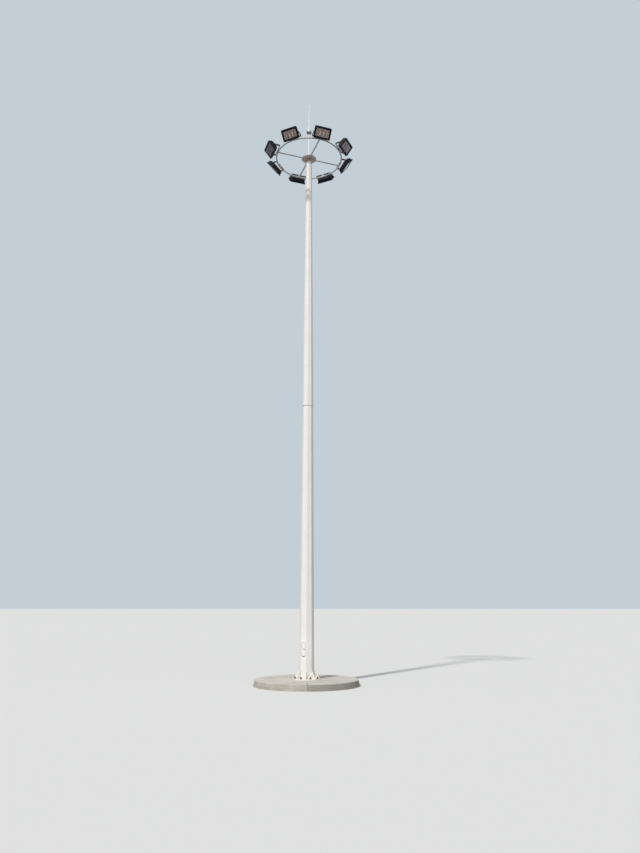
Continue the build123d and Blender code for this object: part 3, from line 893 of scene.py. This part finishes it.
@dataclass(frozen=True)
class Plinth(SubAssembly):
    """Round rendered plinth with a trowelled top, a worn edge and a joint cut in its front."""

    foot_radius: float = 1.070
    top_radius: float = 1.045
    height: float = 0.120
    bevel: float = 0.008
    seat_radius: float = 0.300
    hollow: float = 0.0022
    wear: float = 0.006
    joint_angle: float = -62.5
    joint_half: float = 0.003
    joint_depth: float = 0.006
    broad_waves: float = 0.22
    broad_share: float = 0.6
    fine_waves: float = 0.05
    wear_waves: float = 0.09
    wear_level: float = 0.2
    seeds: tuple[int, int, int] = (3, 4, 5)
    worn_run: float = 0.012
    foot_fade: float = 0.02
    seat_fade: float = 0.03
    steps: int = 480

    def finishes(self) -> Mapping[str, Finish]:
        """Cement render."""
        return {"plinth": CEMENT}

    def profile(self) -> tuple[Array, Array]:
        """Profile from the underside's centre up the sloped side, round the edge and over the top.

        The edge is a quarter circle: r = R - b (1 - cos(a)), z = h - b (1 - sin(a)).

        Returns:
            Radius and height of each point.
        """
        side = np.linspace(0.0, 1.0, 16)
        edge = np.linspace(0.0, TURN / 4, 6)[1:]
        top_r = np.linspace(self.top_radius - self.bevel, self.seat_radius, 96)[1:]
        side_r = self.foot_radius + (self.top_radius - self.foot_radius) * side
        side_z = (self.height - self.bevel) * side
        edge_r = self.top_radius - self.bevel * (1 - np.cos(edge))
        edge_z = self.height - self.bevel * (1 - np.sin(edge))
        r = np.concatenate([[0.0], side_r, edge_r, top_r, [self.seat_radius / 2, 0.0]])
        z = np.concatenate([[0.0], side_z, edge_z, np.full(len(top_r) + 2, self.height)])
        return r, z

    def skin(self) -> Surface:
        """The profile turned once round, lowered and drawn in by unevenness, never raised.

        The side is drawn in, and the top lowered, by a share of the hollow that grows with two
        sizes of unevenness, and twice as far on the side. At the edge, wear adds where a third one
        is high. Along the first column of points the joint is cut in, and the columns beside it
        are drawn up to it, to an angle of half its width over r. All of it fades out at the foot
        and under the flange.

        Returns:
            The closed skin.
        """
        r, z = self.profile()
        around = math.radians(self.joint_angle) + np.linspace(0.0, TURN, self.steps, endpoint=False)
        angle = np.repeat(around[None], len(r), 0)
        angle[:, [1, -1]] = around[0] + self.joint_half / np.maximum(r, 0.2)[:, None] * [1.0, -1.0]
        r, z = (np.repeat(values[:, None], self.steps, 1) for values in (r, z))
        points = np.stack([r * np.cos(angle), r * np.sin(angle), z], -1)
        sizes = (self.broad_waves, self.fine_waves, self.wear_waves)
        broad, fine, third = (uneven(points, size, seed) for size, seed in zip(sizes, self.seeds))
        waves = self.broad_share * broad + (1.0 - self.broad_share) * fine
        low = self.hollow * np.clip(0.5 + 0.5 * waves, 0.0, 1.0)
        worn = self.wear * np.clip(third - self.wear_level, 0.0, 1.0)
        from_edge = (r - self.top_radius + self.bevel / 2) / self.worn_run
        near_edge = np.exp(-from_edge ** 2) * (z > 0.5 * self.height)
        on_top = np.clip((r - self.seat_radius) / self.seat_fade, 0.0, 1.0)
        on_top = on_top * (z > self.height - self.bevel)
        on_side = np.clip(z / self.foot_fade, 0.0, 1.0)
        on_side = on_side * (r > self.top_radius - self.bevel)
        cut = self.joint_depth * (np.arange(self.steps) == 0)
        return turned(r - on_side * (2.0 * low + cut) - near_edge * worn,
                      z - on_top * (low + cut) - near_edge * worn, self.steps, angle)

    def add_pieces(self) -> None:
        """Builds the skin."""
        make_piece("plinth_render", self.skin(), CEMENT, replaced=["plinth"],
                   sharp_degrees=50.0)


@dataclass(frozen=True)
class AnchorBolts(SubAssembly):
    """Threaded anchors with their washers and nuts."""

    count: int = 8
    circle_radius: float = 0.245
    stud_radius: float = 0.012
    pitch: float = 0.003
    foot: float = 0.030
    washer_radius: float = 0.024
    washer_thickness: float = 0.004
    nut_flats: float = 0.036
    nut_height: float = 0.020
    stand_out: float = 0.016
    seed: int = 11

    def finishes(self) -> Mapping[str, Finish]:
        """Weathered bolt steel."""
        return {"anchor_bolts": BOLT_STEEL}

    def anchor(self) -> Surface:
        """One anchor on the mast's axis.

        Returns:
            The stud with its washer and nut.
        """
        nut_foot = FLANGE_TOP + self.washer_thickness
        nut_top = nut_foot + self.nut_height
        return joined([
            stud(self.stud_radius, self.pitch, self.foot, nut_top - self.pitch,
                 nut_top + self.stand_out),
            washer(self.washer_radius, self.washer_thickness).placed(moved(z=FLANGE_TOP)),
            hexagon_head(self.nut_flats, self.nut_height, both_ends=True).placed(moved(z=nut_foot)),
        ])

    def add_pieces(self) -> None:
        """Builds the anchors, each nut stopped at its own angle."""
        spins = np.random.default_rng(self.seed).uniform(0.0, 60.0, self.count)
        circle_places = round_mast(self.count, radius=self.circle_radius)
        places = [place @ about_z(spin) for place, spin in zip(circle_places, spins)]
        make_piece("threaded_anchor_bolts", self.anchor().at_each(places), BOLT_STEEL,
                   replaced=["anchor_bolts"])


@dataclass(frozen=True)
class ShaftFoot(SubAssembly):
    """Base flange and gussets, with the welds that join them to the shaft."""

    shaft_bead: float = 0.0055
    gusset_reach: float = 0.2575
    gusset_height: float = 0.132
    gusset_thickness: float = 0.010
    gusset_bead: float = 0.004

    def finishes(self) -> Mapping[str, Finish]:
        """Paint with standing dirt and rust."""
        return {"base_flange": FOOT_PAINT, "base_gussets": FOOT_PAINT}

    def add_pieces(self) -> None:
        """Builds the weld round the shaft's foot and those of the gussets."""
        foot = weld_bead(octagon(LOWER_FLATS, FLANGE_TOP), self.shaft_bead, closed=True)
        gussets = stiffener_welds(LOWER_FLATS, LOWER_TAPER, FLANGE_TOP, self.gusset_reach,
                                  self.gusset_height, self.gusset_thickness, self.gusset_bead)
        make_piece("shaft_foot_welds", joined([foot, gussets]), FOOT_PAINT)


@dataclass(frozen=True)
class Shaft(SubAssembly):
    """The two tapered lengths of octagonal shaft with their seam welds."""

    joint: float = 5.820
    upper_flats: float = 0.22810
    seam_radius: float = 0.005
    seam_sunk: float = 0.0036
    shade_bead_radius: float = 0.0035
    shade_bead_step: float = 0.004

    def finishes(self) -> Mapping[str, Finish]:
        """Mast paint."""
        return {node: MAST_PAINT for node in ("lower_shaft_foot", "lower_shaft", "upper_shaft")}

    def seam(self, bottom: float, top: float, flats: float, taper: float) -> Surface:
        """Ground seam weld up the middle of the rear face, mostly sunk in the plate.

        Its radius wanders by an eighth: r (1 + 0.12 sin(90 z)).

        Args:
            bottom: height of its lower end.
            top: height of its upper end.
            flats: width across flats at the lower end.
            taper: loss of that width per metre of height.

        Returns:
            The seam.
        """
        z = np.linspace(bottom, top, 240)
        y = (flats - taper * (z - bottom)) / 2 - self.seam_sunk
        path = np.column_stack([np.zeros_like(z), y, z])
        radius = self.seam_radius * (1.0 + 0.12 * np.sin(90.0 * z))
        radius[[0, -1]] = 0.0
        return swept(path, radius, steps=10)

    def painted_shade_bead(self) -> Surface:
        """Dark bead under the upper length's foot, all round the lower length, as painted shade of the
        joint.

        A round section goes round the lower length's outline, its centre half a radius outside the
        faces and 0.6 of one below the joint.

        Returns:
            The bead.
        """
        lower = LOWER_FLATS - LOWER_TAPER * (self.joint - FLANGE_TOP)
        outline = octagon(lower + self.shade_bead_radius, self.joint - 0.6 * self.shade_bead_radius)
        path = evenly(outline, self.shade_bead_step, closed=True)
        return swept(path, self.shade_bead_radius, steps=10, closed=True)

    def add_pieces(self) -> None:
        """Builds a seam on each length and the dark bead of painted shade at the joint."""
        lower = self.seam(FLANGE_TOP, self.joint, LOWER_FLATS, LOWER_TAPER)
        upper = self.seam(self.joint, PLATE_UNDERSIDE, self.upper_flats, UPPER_TAPER)
        make_piece("shaft_seam_welds", joined([lower, upper]), MAST_PAINT)
        # Painted shade: a dark bead along the slip joint.
        make_piece("slip_joint_painted_shade_bead", self.painted_shade_bead(), PAINTED_SHADE_BEAD)


@dataclass(frozen=True)
class HandHole(SubAssembly):
    """Hand hole with its frame, seal, door, hinges and lock."""

    height: float = 0.697
    face: float = 0.14194
    lean: float = 0.0064
    hole_width: float = 0.086
    hole_length: float = 0.276
    lip: float = 0.008
    lip_depth: float = 0.0095
    seal_radius: float = 0.002
    seal_step: float = 0.004
    hinge_x: float = -0.047
    hinge_stand_off: float = 0.007
    hinge_spacing: float = 0.150
    hinge_reach: float = 0.0245
    pin_radius: float = 0.0045
    pin_dome: float = 0.003
    strap_start: float = -0.0375
    strap_end: float = -0.0135
    strap_half: float = 0.010
    strap_bead: float = 0.0016
    strap_pitch: float = 0.003

    def finishes(self) -> Mapping[str, Finish]:
        """Mast paint and a plated lock."""
        painted = {node: MAST_PAINT for node in ("hand_hole_frame", "hand_hole_door", "door_hinge_lugs")}
        return {**painted, "door_lock": ZINC}

    def place(self) -> Array:
        """Frame of the door: X across, Y up the leaning face and Z out of it."""
        outward = (0.0, -math.cos(self.lean), math.sin(self.lean))
        return placing((0.0, -self.face, self.height), (1.0, 0.0, 0.0), outward)

    def seal(self) -> Surface:
        """Round rubber seal that lies on the frame's lip, all round the door's edge.

        A round section goes round the hole's outline, its centre half a lip's width inside it.

        Returns:
            The seal, in the door's frame.
        """
        width, length = self.hole_width - self.lip, self.hole_length - self.lip
        outline = rounded_outline(rectangle(width, length), width / 2 - 1e-5, per_corner=24)
        path = evenly(raised(outline, self.seal_radius - self.lip_depth), self.seal_step, closed=True)
        return swept(path, self.seal_radius, steps=10, closed=True)

    def pin_ends(self) -> Surface:
        """Domed ends of the hinge pins: each r cos(a) wide at a height of h sin(a).

        Returns:
            The four ends, in the door's frame.
        """
        angle = np.linspace(0.0, TURN / 4, 6)
        r, z = self.pin_radius * np.cos(angle), self.pin_dome * np.sin(angle)
        ends = [(side * self.hinge_spacing / 2 + way * self.hinge_reach, way)
                for side in (-1.0, 1.0) for way in (-1.0, 1.0)]
        places = [placing((self.hinge_x, y, self.hinge_stand_off), (1.0, 0.0, 0.0), (0.0, way, 0.0))
                  for y, way in ends]
        return turned([0.0, *r], [0.0, *z], steps=20).at_each(places)

    def strap_beads(self) -> Surface:
        """Welds round the three sides of each hinge strap on the door leaf.

        Returns:
            The two welds, in the door's frame.
        """
        half = self.strap_half
        path = np.array([[self.strap_start, -half, 0.0], [self.strap_end, -half, 0.0],
                         [self.strap_end, half, 0.0], [self.strap_start, half, 0.0]])
        bead = weld_bead(path, self.strap_bead, pitch=self.strap_pitch)
        return bead.at_each([moved(y=way * self.hinge_spacing / 2) for way in (-1.0, 1.0)])

    def add_pieces(self) -> None:
        """Builds the seal, the pins' ends and the welds of the straps."""
        place = self.place()
        straps = self.strap_beads().placed(place)
        make_piece("hand_hole_seal", self.seal().placed(place), RUBBER)
        make_piece("hinge_pin_ends", self.pin_ends().placed(place), MAST_PAINT)
        make_piece("hinge_strap_welds", straps, MAST_PAINT, Body.DOOR.value)


@dataclass(frozen=True)
class MastHead(SubAssembly):
    """Head plate and ribs with their welds."""

    shaft_flats: float = 0.12857
    shaft_bead: float = 0.004
    rib_reach: float = 0.1655
    rib_height: float = 0.062
    rib_thickness: float = 0.008
    rib_bead: float = 0.003

    def finishes(self) -> Mapping[str, Finish]:
        """Paint browned as painted shade."""
        return {"head_plate": HEAD_PAINT, "head_ribs": HEAD_PAINT}

    def add_pieces(self) -> None:
        """Builds the weld round the shaft's head and those of the ribs."""
        head = weld_bead(octagon(self.shaft_flats, PLATE_UNDERSIDE), self.shaft_bead, closed=True)
        ribs = stiffener_welds(self.shaft_flats, UPPER_TAPER, PLATE_UNDERSIDE, self.rib_reach,
                               -self.rib_height, self.rib_thickness, self.rib_bead)
        make_piece("mast_head_welds", joined([head, ribs]), HEAD_PAINT)


@dataclass(frozen=True)
class LampRing(SubAssembly):
    """Tube ring with its spokes, brackets and yokes."""

    height: float = PLATE_UNDERSIDE + PLATE_THICKNESS / 2
    radius: float = 0.790
    tube_radius: float = 0.017
    plate_radius: float = 0.1775
    plate_lap: float = 0.045
    bracket_width: float = 0.060
    bracket_thickness: float = 0.006
    yoke_face: float = 0.797
    bracket_back: float = 0.787
    bolt_rise: float = 0.054
    bolt_side: float = 0.018
    bolt_flats: float = 0.019
    bolt_head: float = 0.0075
    bolt_radius: float = 0.006
    bolt_pitch: float = 0.00175
    bolt_thread_from: float = 0.0095
    bolt_end: float = 0.0145
    washer_radius: float = 0.012
    washer_thickness: float = 0.0025
    bead: float = 0.003
    joint_bead: float = 0.002
    joint_sunk: float = 0.0006

    def finishes(self) -> Mapping[str, Finish]:
        """Tube paint on the ring, its spokes and brackets, and a black coat on the yokes."""
        painted = {node: TUBE_PAINT for node in ("lamp_ring", "spokes", "ring_brackets")}
        return {**painted, "floodlight_yokes": STRAP_COAT}

    def spoke_beads(self) -> Surface:
        """Welds of one spoke on +X: along the head plate, above and below, and round its cope.

        The cope's line is (R - r |cos(a)|, r cos(a), r sin(a)), where two tubes of one radius meet.

        Returns:
            The welds, from the ring's height.
        """
        half_plate = PLATE_THICKNESS / 2
        side = math.sqrt(self.tube_radius ** 2 - half_plate ** 2)
        inner = self.plate_radius - self.plate_lap
        paths = [np.array([[self.plate_radius, y, z], [inner, y, z]])
                 for y in (-side, side) for z in (-half_plate, half_plate)]
        loop = circle(self.tube_radius, 0.0)
        cope = np.column_stack([self.radius - np.abs(loop[:, 0]), loop[:, 0], loop[:, 1]])
        return joined([weld_beads(paths, self.bead), weld_bead(cope, self.bead, closed=True)])

    def bracket_beads(self) -> Surface:
        """Welds along both faces of one bracket on +X, where it stands on the ring's tube.

        Half the bracket's thickness t from its crown, the tube stands sqrt(r ** 2 - t ** 2 / 4) high.

        Returns:
            The two welds, from the ring's height.
        """
        half, out = self.bracket_width / 2, self.bracket_thickness / 2
        rise = math.sqrt(self.tube_radius ** 2 - out ** 2)
        faces = (self.radius - out, self.radius + out)
        return weld_beads([np.array([[x, -half, rise], [x, half, rise]]) for x in faces], self.bead)

    def ring_joint(self) -> Surface:
        """Butt weld once round the ring's tube, on +X, sunk a little in the tube.

        Returns:
            The weld, from the ring's height.
        """
        loop = circle(self.tube_radius - self.joint_sunk, 0.0)
        path = np.column_stack([self.radius + loop[:, 0], 0.0 * loop[:, 0], loop[:, 1]])
        return weld_bead(path, self.joint_bead, closed=True)

    def yoke_bolts(self) -> Surface:
        """The two bolts of one yoke on +X: heads inside the yoke and nuts behind the bracket.

        Returns:
            The bolts, from the ring's height.
        """
        head = bolt(self.bolt_flats, self.bolt_head, self.washer_radius, self.washer_thickness)
        end = stud(self.bolt_radius, self.bolt_pitch, 0.0, self.bolt_thread_from, self.bolt_end)
        heads, nuts = ([placing((radius, side, self.bolt_rise), (0.0, 1.0, 0.0), (way, 0.0, 0.0))
                        for side in (-self.bolt_side, self.bolt_side)]
                       for radius, way in ((self.yoke_face, 1.0), (self.bracket_back, -1.0)))
        return joined([head.at_each(heads + nuts), end.at_each(nuts)])

    def add_pieces(self) -> None:
        """Builds the welds and the yokes' bolts."""
        turns = round_mast(8, height=self.height)
        joints = round_mast(4, 22.5, height=self.height)
        welds = joined([self.spoke_beads().at_each(turns[1::2]), self.bracket_beads().at_each(turns),
                        self.ring_joint().at_each(joints)])
        make_piece("lamp_ring_welds", welds, TUBE_PAINT)
        make_piece("yoke_bolts", self.yoke_bolts().at_each(turns), ZINC)


@dataclass(frozen=True)
class Floodlight(SubAssembly):
    """One floodlight: housing, glass and reflector, with seal, screws, gland and light sources."""

    number: int = 1
    pivot_radius: float = 0.950
    pivot_height: float = 12.180
    tilt: float = 40.0
    face: float = 0.060
    face_width: float = 0.405
    face_height: float = 0.270
    window_width: float = 0.327
    window_height: float = 0.178
    window_corner: float = 0.018
    glass_recess: float = 0.003
    seal_radius: float = 0.0018
    seal_step: float = 0.006
    screw_radius: float = 0.0055
    screw_height: float = 0.0035
    pivot_end: float = 0.2033
    pivot_flats: float = 0.017
    pivot_head: float = 0.006
    gland_seat: tuple[float, float, float] = (0.120, -0.119, 0.004)
    gland_flats: float = 0.024
    gland_foot: float = 0.006
    gland_radii: tuple[float, ...] = (0.0, 0.011, 0.011, 0.0102, 0.0086, 0.0062, 0.0042, 0.0038, 0.0)
    gland_heights: tuple[float, ...] = (
        0.006, 0.006, 0.011, 0.013, 0.0165, 0.0185, 0.0185, 0.015, 0.015)
    source_spacing: float = 0.084
    source_front: float = -0.004
    board_foot: float = -0.007
    board_width: float = 0.050
    board_height: float = 0.092
    board_corner: float = 0.004
    board_thickness: float = 0.0012
    board_bevel: float = 0.0003
    resin_radius: float = 0.0175
    resin_rim: float = 0.0004
    resin_rise: float = 0.0012
    clamp_bore: float = 0.0178
    clamp_radius: float = 0.0238
    clamp_height: float = 0.0028
    clamp_bevel: float = 0.001
    clamp_screw_place: tuple[float, float] = (0.0208, 0.0026)
    clamp_screw_radius: float = 0.0022
    clamp_screw_height: float = 0.0016

    @property
    def body(self) -> str:
        """Name of its body."""
        return f"floodlight_{self.number}"

    def finishes(self) -> Mapping[str, Finish]:
        """Black coat, clear glass, on two floodlights darkened by painted shade, and a warm grey
        reflector.
        """
        return {f"{self.body}_housing": HOUSING_COAT,
                f"{self.body}_glass": PAINTED_SHADE_GLASS.get(self.number, LAMP_GLASS),
                f"{self.body}_led_reflector": REFLECTOR}

    def place(self) -> Array:
        """Frame of the floodlight at rest: X along its pivots, Y up and Z out of the glass."""
        pivot = placing((self.pivot_radius, 0.0, self.pivot_height), (0.0, 1.0, 0.0), (1.0, 0.0, 0.0))
        return about_z(45.0 * (self.number - 1)) @ pivot @ about_x(self.tilt)

    def seal(self) -> Surface:
        """Rubber seal in the corner between the glass and the window's wall.

        A round section goes round the window's outline, its centre a radius inside the wall and half
        a radius above the glass.

        Returns:
            The seal, in the floodlight's frame.
        """
        radius = self.seal_radius
        size = rectangle(self.window_width - 2 * radius, self.window_height - 2 * radius)
        outline = rounded_outline(size, self.window_corner - radius)
        level = self.face - self.glass_recess + radius / 2
        path = evenly(raised(outline, level), self.seal_step, closed=True)
        return swept(path, radius, steps=8, closed=True)

    def fixings(self) -> Surface:
        """Cap screws round the front frame, and hexagon heads on the ends of the pivots.

        The screws stand midway between the window's edges and the frame's, along the two long sides:
        one towards each corner, and one a third as far from the middle.

        Returns:
            The eight screws and two heads, in the floodlight's frame.
        """
        x = (self.face_width + self.window_width) / 4
        y = (self.face_height + self.window_height) / 4
        spots = [(side * share * x, way * y)
                 for side in (-1, 1) for share in (1.0, 1 / 3) for way in (-1, 1)]
        screw = socket_screw(self.screw_radius, self.screw_height)
        head = hexagon_head(self.pivot_flats, self.pivot_head)
        ends = [placing((way * self.pivot_end, 0.0, 0.0), (0.0, 1.0, 0.0), (way, 0.0, 0.0))
                for way in (-1.0, 1.0)]
        return joined([screw.at_each([moved(*spot, self.face) for spot in spots]), head.at_each(ends)])

    def gland(self) -> Surface:
        """Cable gland under the housing: hexagon foot, domed nut and its blind mouth.

        Returns:
            The gland, in the floodlight's frame.
        """
        nut = turned(self.gland_radii, self.gland_heights, steps=32)
        whole = joined([hexagon_head(self.gland_flats, self.gland_foot), nut])
        return whole.placed(placing(self.gland_seat, (1.0, 0.0, 0.0), (0.0, -1.0, 0.0)))

    def on_sources(self, shape: Surface, height: float) -> Surface:
        """A shape at a height on each of the three light sources."""
        return shape.at_each([moved(step * self.source_spacing, 0.0, height) for step in (-1, 0, 1)])

    def boards(self) -> Surface:
        """Upright board round each source: a rounded outline whose front edge is bevelled.

        Returns:
            The three boards, in the floodlight's frame.
        """
        width, height, bevel = self.board_width, self.board_height, self.board_bevel
        outline = rounded_outline(rectangle(width, height), self.board_corner)
        inner = rectangle(width - 2 * bevel, height - 2 * bevel)
        front = rounded_outline(inner, self.board_corner - bevel)
        centre = np.zeros((len(outline), 2))
        lines = (centre, outline, outline, front, centre)
        levels = (0.0, 0.0, self.board_thickness - bevel, self.board_thickness, self.board_thickness)
        board = grid(np.stack([raised(line, level) for line, level in zip(lines, levels)]))
        return self.on_sources(board, self.board_foot)

    def phosphor(self) -> Surface:
        """Domed resin of each source: a cap r sin(a) wide that rises by h cos(a).

        Returns:
            The three domes, in the floodlight's frame.
        """
        angle = np.linspace(0.0, TURN / 4, 8)
        r, z = self.resin_radius * np.sin(angle), self.resin_rim + self.resin_rise * np.cos(angle)
        return self.on_sources(turned([*r, r[-1], 0.0], [*z, 0.0, 0.0], steps=40), self.source_front)

    def clamps(self) -> Surface:
        """Ring that clamps each source, with both rims bevelled, and its two screws.

        Returns:
            The three clamps, in the floodlight's frame.
        """
        inner, outer, top, bevel = self.clamp_bore, self.clamp_radius, self.clamp_height, self.clamp_bevel
        ring = turned([inner, inner + bevel, outer - bevel, outer, outer, inner, inner],
                      [top - bevel, top, top, top - bevel, 0.0, 0.0, top - bevel], steps=40)
        x, z = self.clamp_screw_place
        screw = socket_screw(self.clamp_screw_radius, self.clamp_screw_height)
        screws = screw.at_each([moved(side * x, 0.0, z) for side in (-1, 1)])
        return self.on_sources(joined([ring, screws]), self.source_front)

    def add_pieces(self) -> None:
        """Builds the trim in the floodlight's own frame and places it."""
        pieces = (
            ("seal", self.seal(), RUBBER, Slot.BLACK_ALUMINIUM),
            ("fixings", self.fixings(), BLACKENED, Slot.PLATED_STEEL),
            ("gland", self.gland(), POLYAMIDE, Slot.BLACK_ALUMINIUM),
            ("phosphor", self.phosphor(), PHOSPHOR, Slot.REFLECTOR),
            ("clamps", self.clamps(), CLAMP_RESIN, Slot.REFLECTOR),
            ("boards", self.boards(), BOARD, Slot.REFLECTOR),
        )
        for name, surface, finish, slot in pieces:
            make_piece(f"{self.body}_{name}", surface.placed(self.place()), finish, self.body)


@dataclass(frozen=True)
class LightningRod(SubAssembly):
    """Stem, polished ball and tapered rod."""

    flange_top: float = 12.142
    stem_radius: float = 0.019
    stem_bead: float = 0.003
    bolt_circle: float = 0.037
    bolt_flats: float = 0.013
    bolt_head: float = 0.0055
    washer_radius: float = 0.009
    washer_thickness: float = 0.0015
    ball_height: float = 12.887
    ball_radius: float = 0.065
    seat_radius: float = 0.022
    groove_depth: float = 0.0006
    groove_half: float = 0.0012

    def finishes(self) -> Mapping[str, Finish]:
        """Paint, polished stainless and drawn aluminium."""
        return {"rod_stem": MAST_PAINT, "rod_ball": STAINLESS, "rod_tip": ROD_METAL}

    def ball(self) -> Surface:
        """Spun ball: r = R sin(a), z = -R cos(a), with its seam a shallow groove at the middle.

        It starts and ends where its radius is the seat's, and is closed flat there.

        Returns:
            The closed ball.
        """
        start = math.asin(self.seat_radius / self.ball_radius)
        angle = np.linspace(start, math.pi - start, 81)
        z = -self.ball_radius * np.cos(angle)
        r = self.ball_radius * np.sin(angle) - self.groove_depth * np.exp(-(z / self.groove_half) ** 2)
        return turned([0.0, *r, 0.0], [z[0], *z, z[-1]], steps=96).placed(moved(z=self.ball_height))

    def add_pieces(self) -> None:
        """Builds the ball, the flange's bolts and the stem's weld."""
        make_piece("rod_ball_spun", self.ball(), STAINLESS, replaced=["rod_ball"])
        head = bolt(self.bolt_flats, self.bolt_head, self.washer_radius, self.washer_thickness)
        bolts = head.at_each(round_mast(4, 45.0, self.bolt_circle, self.flange_top))
        make_piece("rod_flange_bolts", bolts, ZINC)
        weld = weld_bead(circle(self.stem_radius, self.flange_top), self.stem_bead, closed=True)
        make_piece("rod_stem_weld", weld, MAST_PAINT)


# The studio and the camera

@dataclass(frozen=True)
class Lamp:
    """Distant lamp: its energy, where it stands and how wide it is, in degrees."""

    name: str
    energy: float
    azimuth: float
    elevation: float
    width: float
    tone: str = "#FFFCF8"

    def build(self) -> None:
        """Makes the lamp; azimuth 0 shines along +Y and a larger one comes more from +X."""
        data = bpy.data.lights.new(self.name, "SUN")
        data.energy = self.energy
        data.angle = math.radians(self.width)
        data.color = linear(self.tone)[:3]
        light = bpy.data.objects.new(self.name, data)
        light.rotation_euler = (math.radians(90.0 - self.elevation), 0.0, math.radians(self.azimuth))
        bpy.context.scene.collection.objects.link(light)


@dataclass(frozen=True)
class Studio:
    """Pale floor and background, soft light, and the camera where the picture was taken."""

    azimuth: float = 26.6
    distance: float = 14.72
    eye_height: float = 1.50
    pitch: float = 14.7
    mast_left: float = 1.05
    focal_px: float = 692.0
    picture_height_px: float = 853.0
    sensor: float = 36.0
    key: Lamp = Lamp("key", energy=2.45, azimuth=-9.0, elevation=52.0, width=3.0)
    soft: Lamp = Lamp("soft", energy=0.85, azimuth=30.0, elevation=25.0, width=70.0)
    fill: float = 0.42
    reach: float = 1500.0
    floor_lit: str = "#8A8886"
    floor_seen: str = "#D6D8D8"
    sky_light: str = "#F2F5F9"
    sky_seen: str = "#C3CED6"

    def build(self) -> None:
        """Makes the camera, the floor, the world and the lamps."""
        self.add_camera()
        self.add_floor()
        self.add_world()
        self.key.build()
        self.soft.build()
        bpy.context.scene.view_settings.view_transform = "Standard"

    def add_camera(self) -> None:
        """Camera at the picture's distance, height and pitch; the mast stands left of its centre."""
        data = bpy.data.cameras.new("camera")
        data.sensor_width = self.sensor
        data.lens = self.sensor * self.focal_px / self.picture_height_px
        data.clip_end = self.reach
        camera = bpy.data.objects.new("camera", data)
        angle = math.radians(self.azimuth)
        x, y = self.distance * math.sin(angle), -self.distance * math.cos(angle)
        camera.location = (x, y, self.eye_height)
        heading = math.radians(self.azimuth - self.mast_left)
        camera.rotation_euler = (math.radians(90.0 + self.pitch), 0.0, heading)
        bpy.context.scene.collection.objects.link(camera)
        bpy.context.scene.camera = camera

    def add_floor(self) -> None:
        """Wide floor that looks pale, and that throws back little light from below."""
        mesh = bpy.data.meshes.new("floor")
        mesh.from_pydata(raised(rectangle(2 * self.reach, 2 * self.reach), 0.0), [], [(0, 1, 2, 3)])
        material = bpy.data.materials.new("pale_floor")
        material.use_nodes = True
        tree = material.node_tree
        tree.nodes.clear()
        tones = {0: self.seen(tree), 6: linear(self.floor_lit), 7: linear(self.floor_seen)}
        tone = add_node(tree, "Mix", tones, 2, data_type="RGBA")
        matt = add_node(tree, "BsdfDiffuse", {"Color": tone})
        add_node(tree, "OutputMaterial", {"Surface": matt})
        mesh.materials.append(material)
        floor = bpy.data.objects.new("floor", mesh)
        bpy.context.scene.collection.objects.link(floor)

    def seen(self, tree: bpy.types.NodeTree) -> Socket:
        """One where the camera, gloss or clear glass looks, and nought for other light.

        Args:
            tree: the nodes of the floor or of the world.

        Returns:
            The value.
        """
        kinds = ("Camera", "Glossy", "Transmission")
        rays = [add_node(tree, "LightPath", output=f"Is {kind} Ray") for kind in kinds]
        either = add_node(tree, "Math", {0: rays[0], 1: rays[1]}, operation="MAXIMUM")
        return add_node(tree, "Math", {0: either, 1: rays[2]}, operation="MAXIMUM")

    def add_world(self) -> None:
        """Soft light from all round, under the pale background that is seen."""
        world = bpy.data.worlds.new("studio")
        world.use_nodes = True
        tree = world.node_tree
        tree.nodes.clear()
        soft = add_node(tree, "Background", {"Color": linear(self.sky_light), "Strength": self.fill})
        pale = add_node(tree, "Background", {"Color": linear(self.sky_seen), "Strength": 1.0})
        shown = add_node(tree, "MixShader", {0: self.seen(tree), 1: soft, 2: pale})
        add_node(tree, "OutputWorld", {"Surface": shown})
        bpy.context.scene.world = world


def main() -> None:
    """Builds the studio and every sub-assembly from the ground up."""
    Studio().build()
    parts: list[SubAssembly] = [
        Plinth(), AnchorBolts(), ShaftFoot(), Shaft(), HandHole(), MastHead(), LampRing(),
        LightningRod(), *(Floodlight(number) for number in range(1, 9)),
    ]
    for part in parts:
        part.build()


if __name__ == "__main__":
    logging.basicConfig(level=logging.INFO, format="%(message)s")
    main()
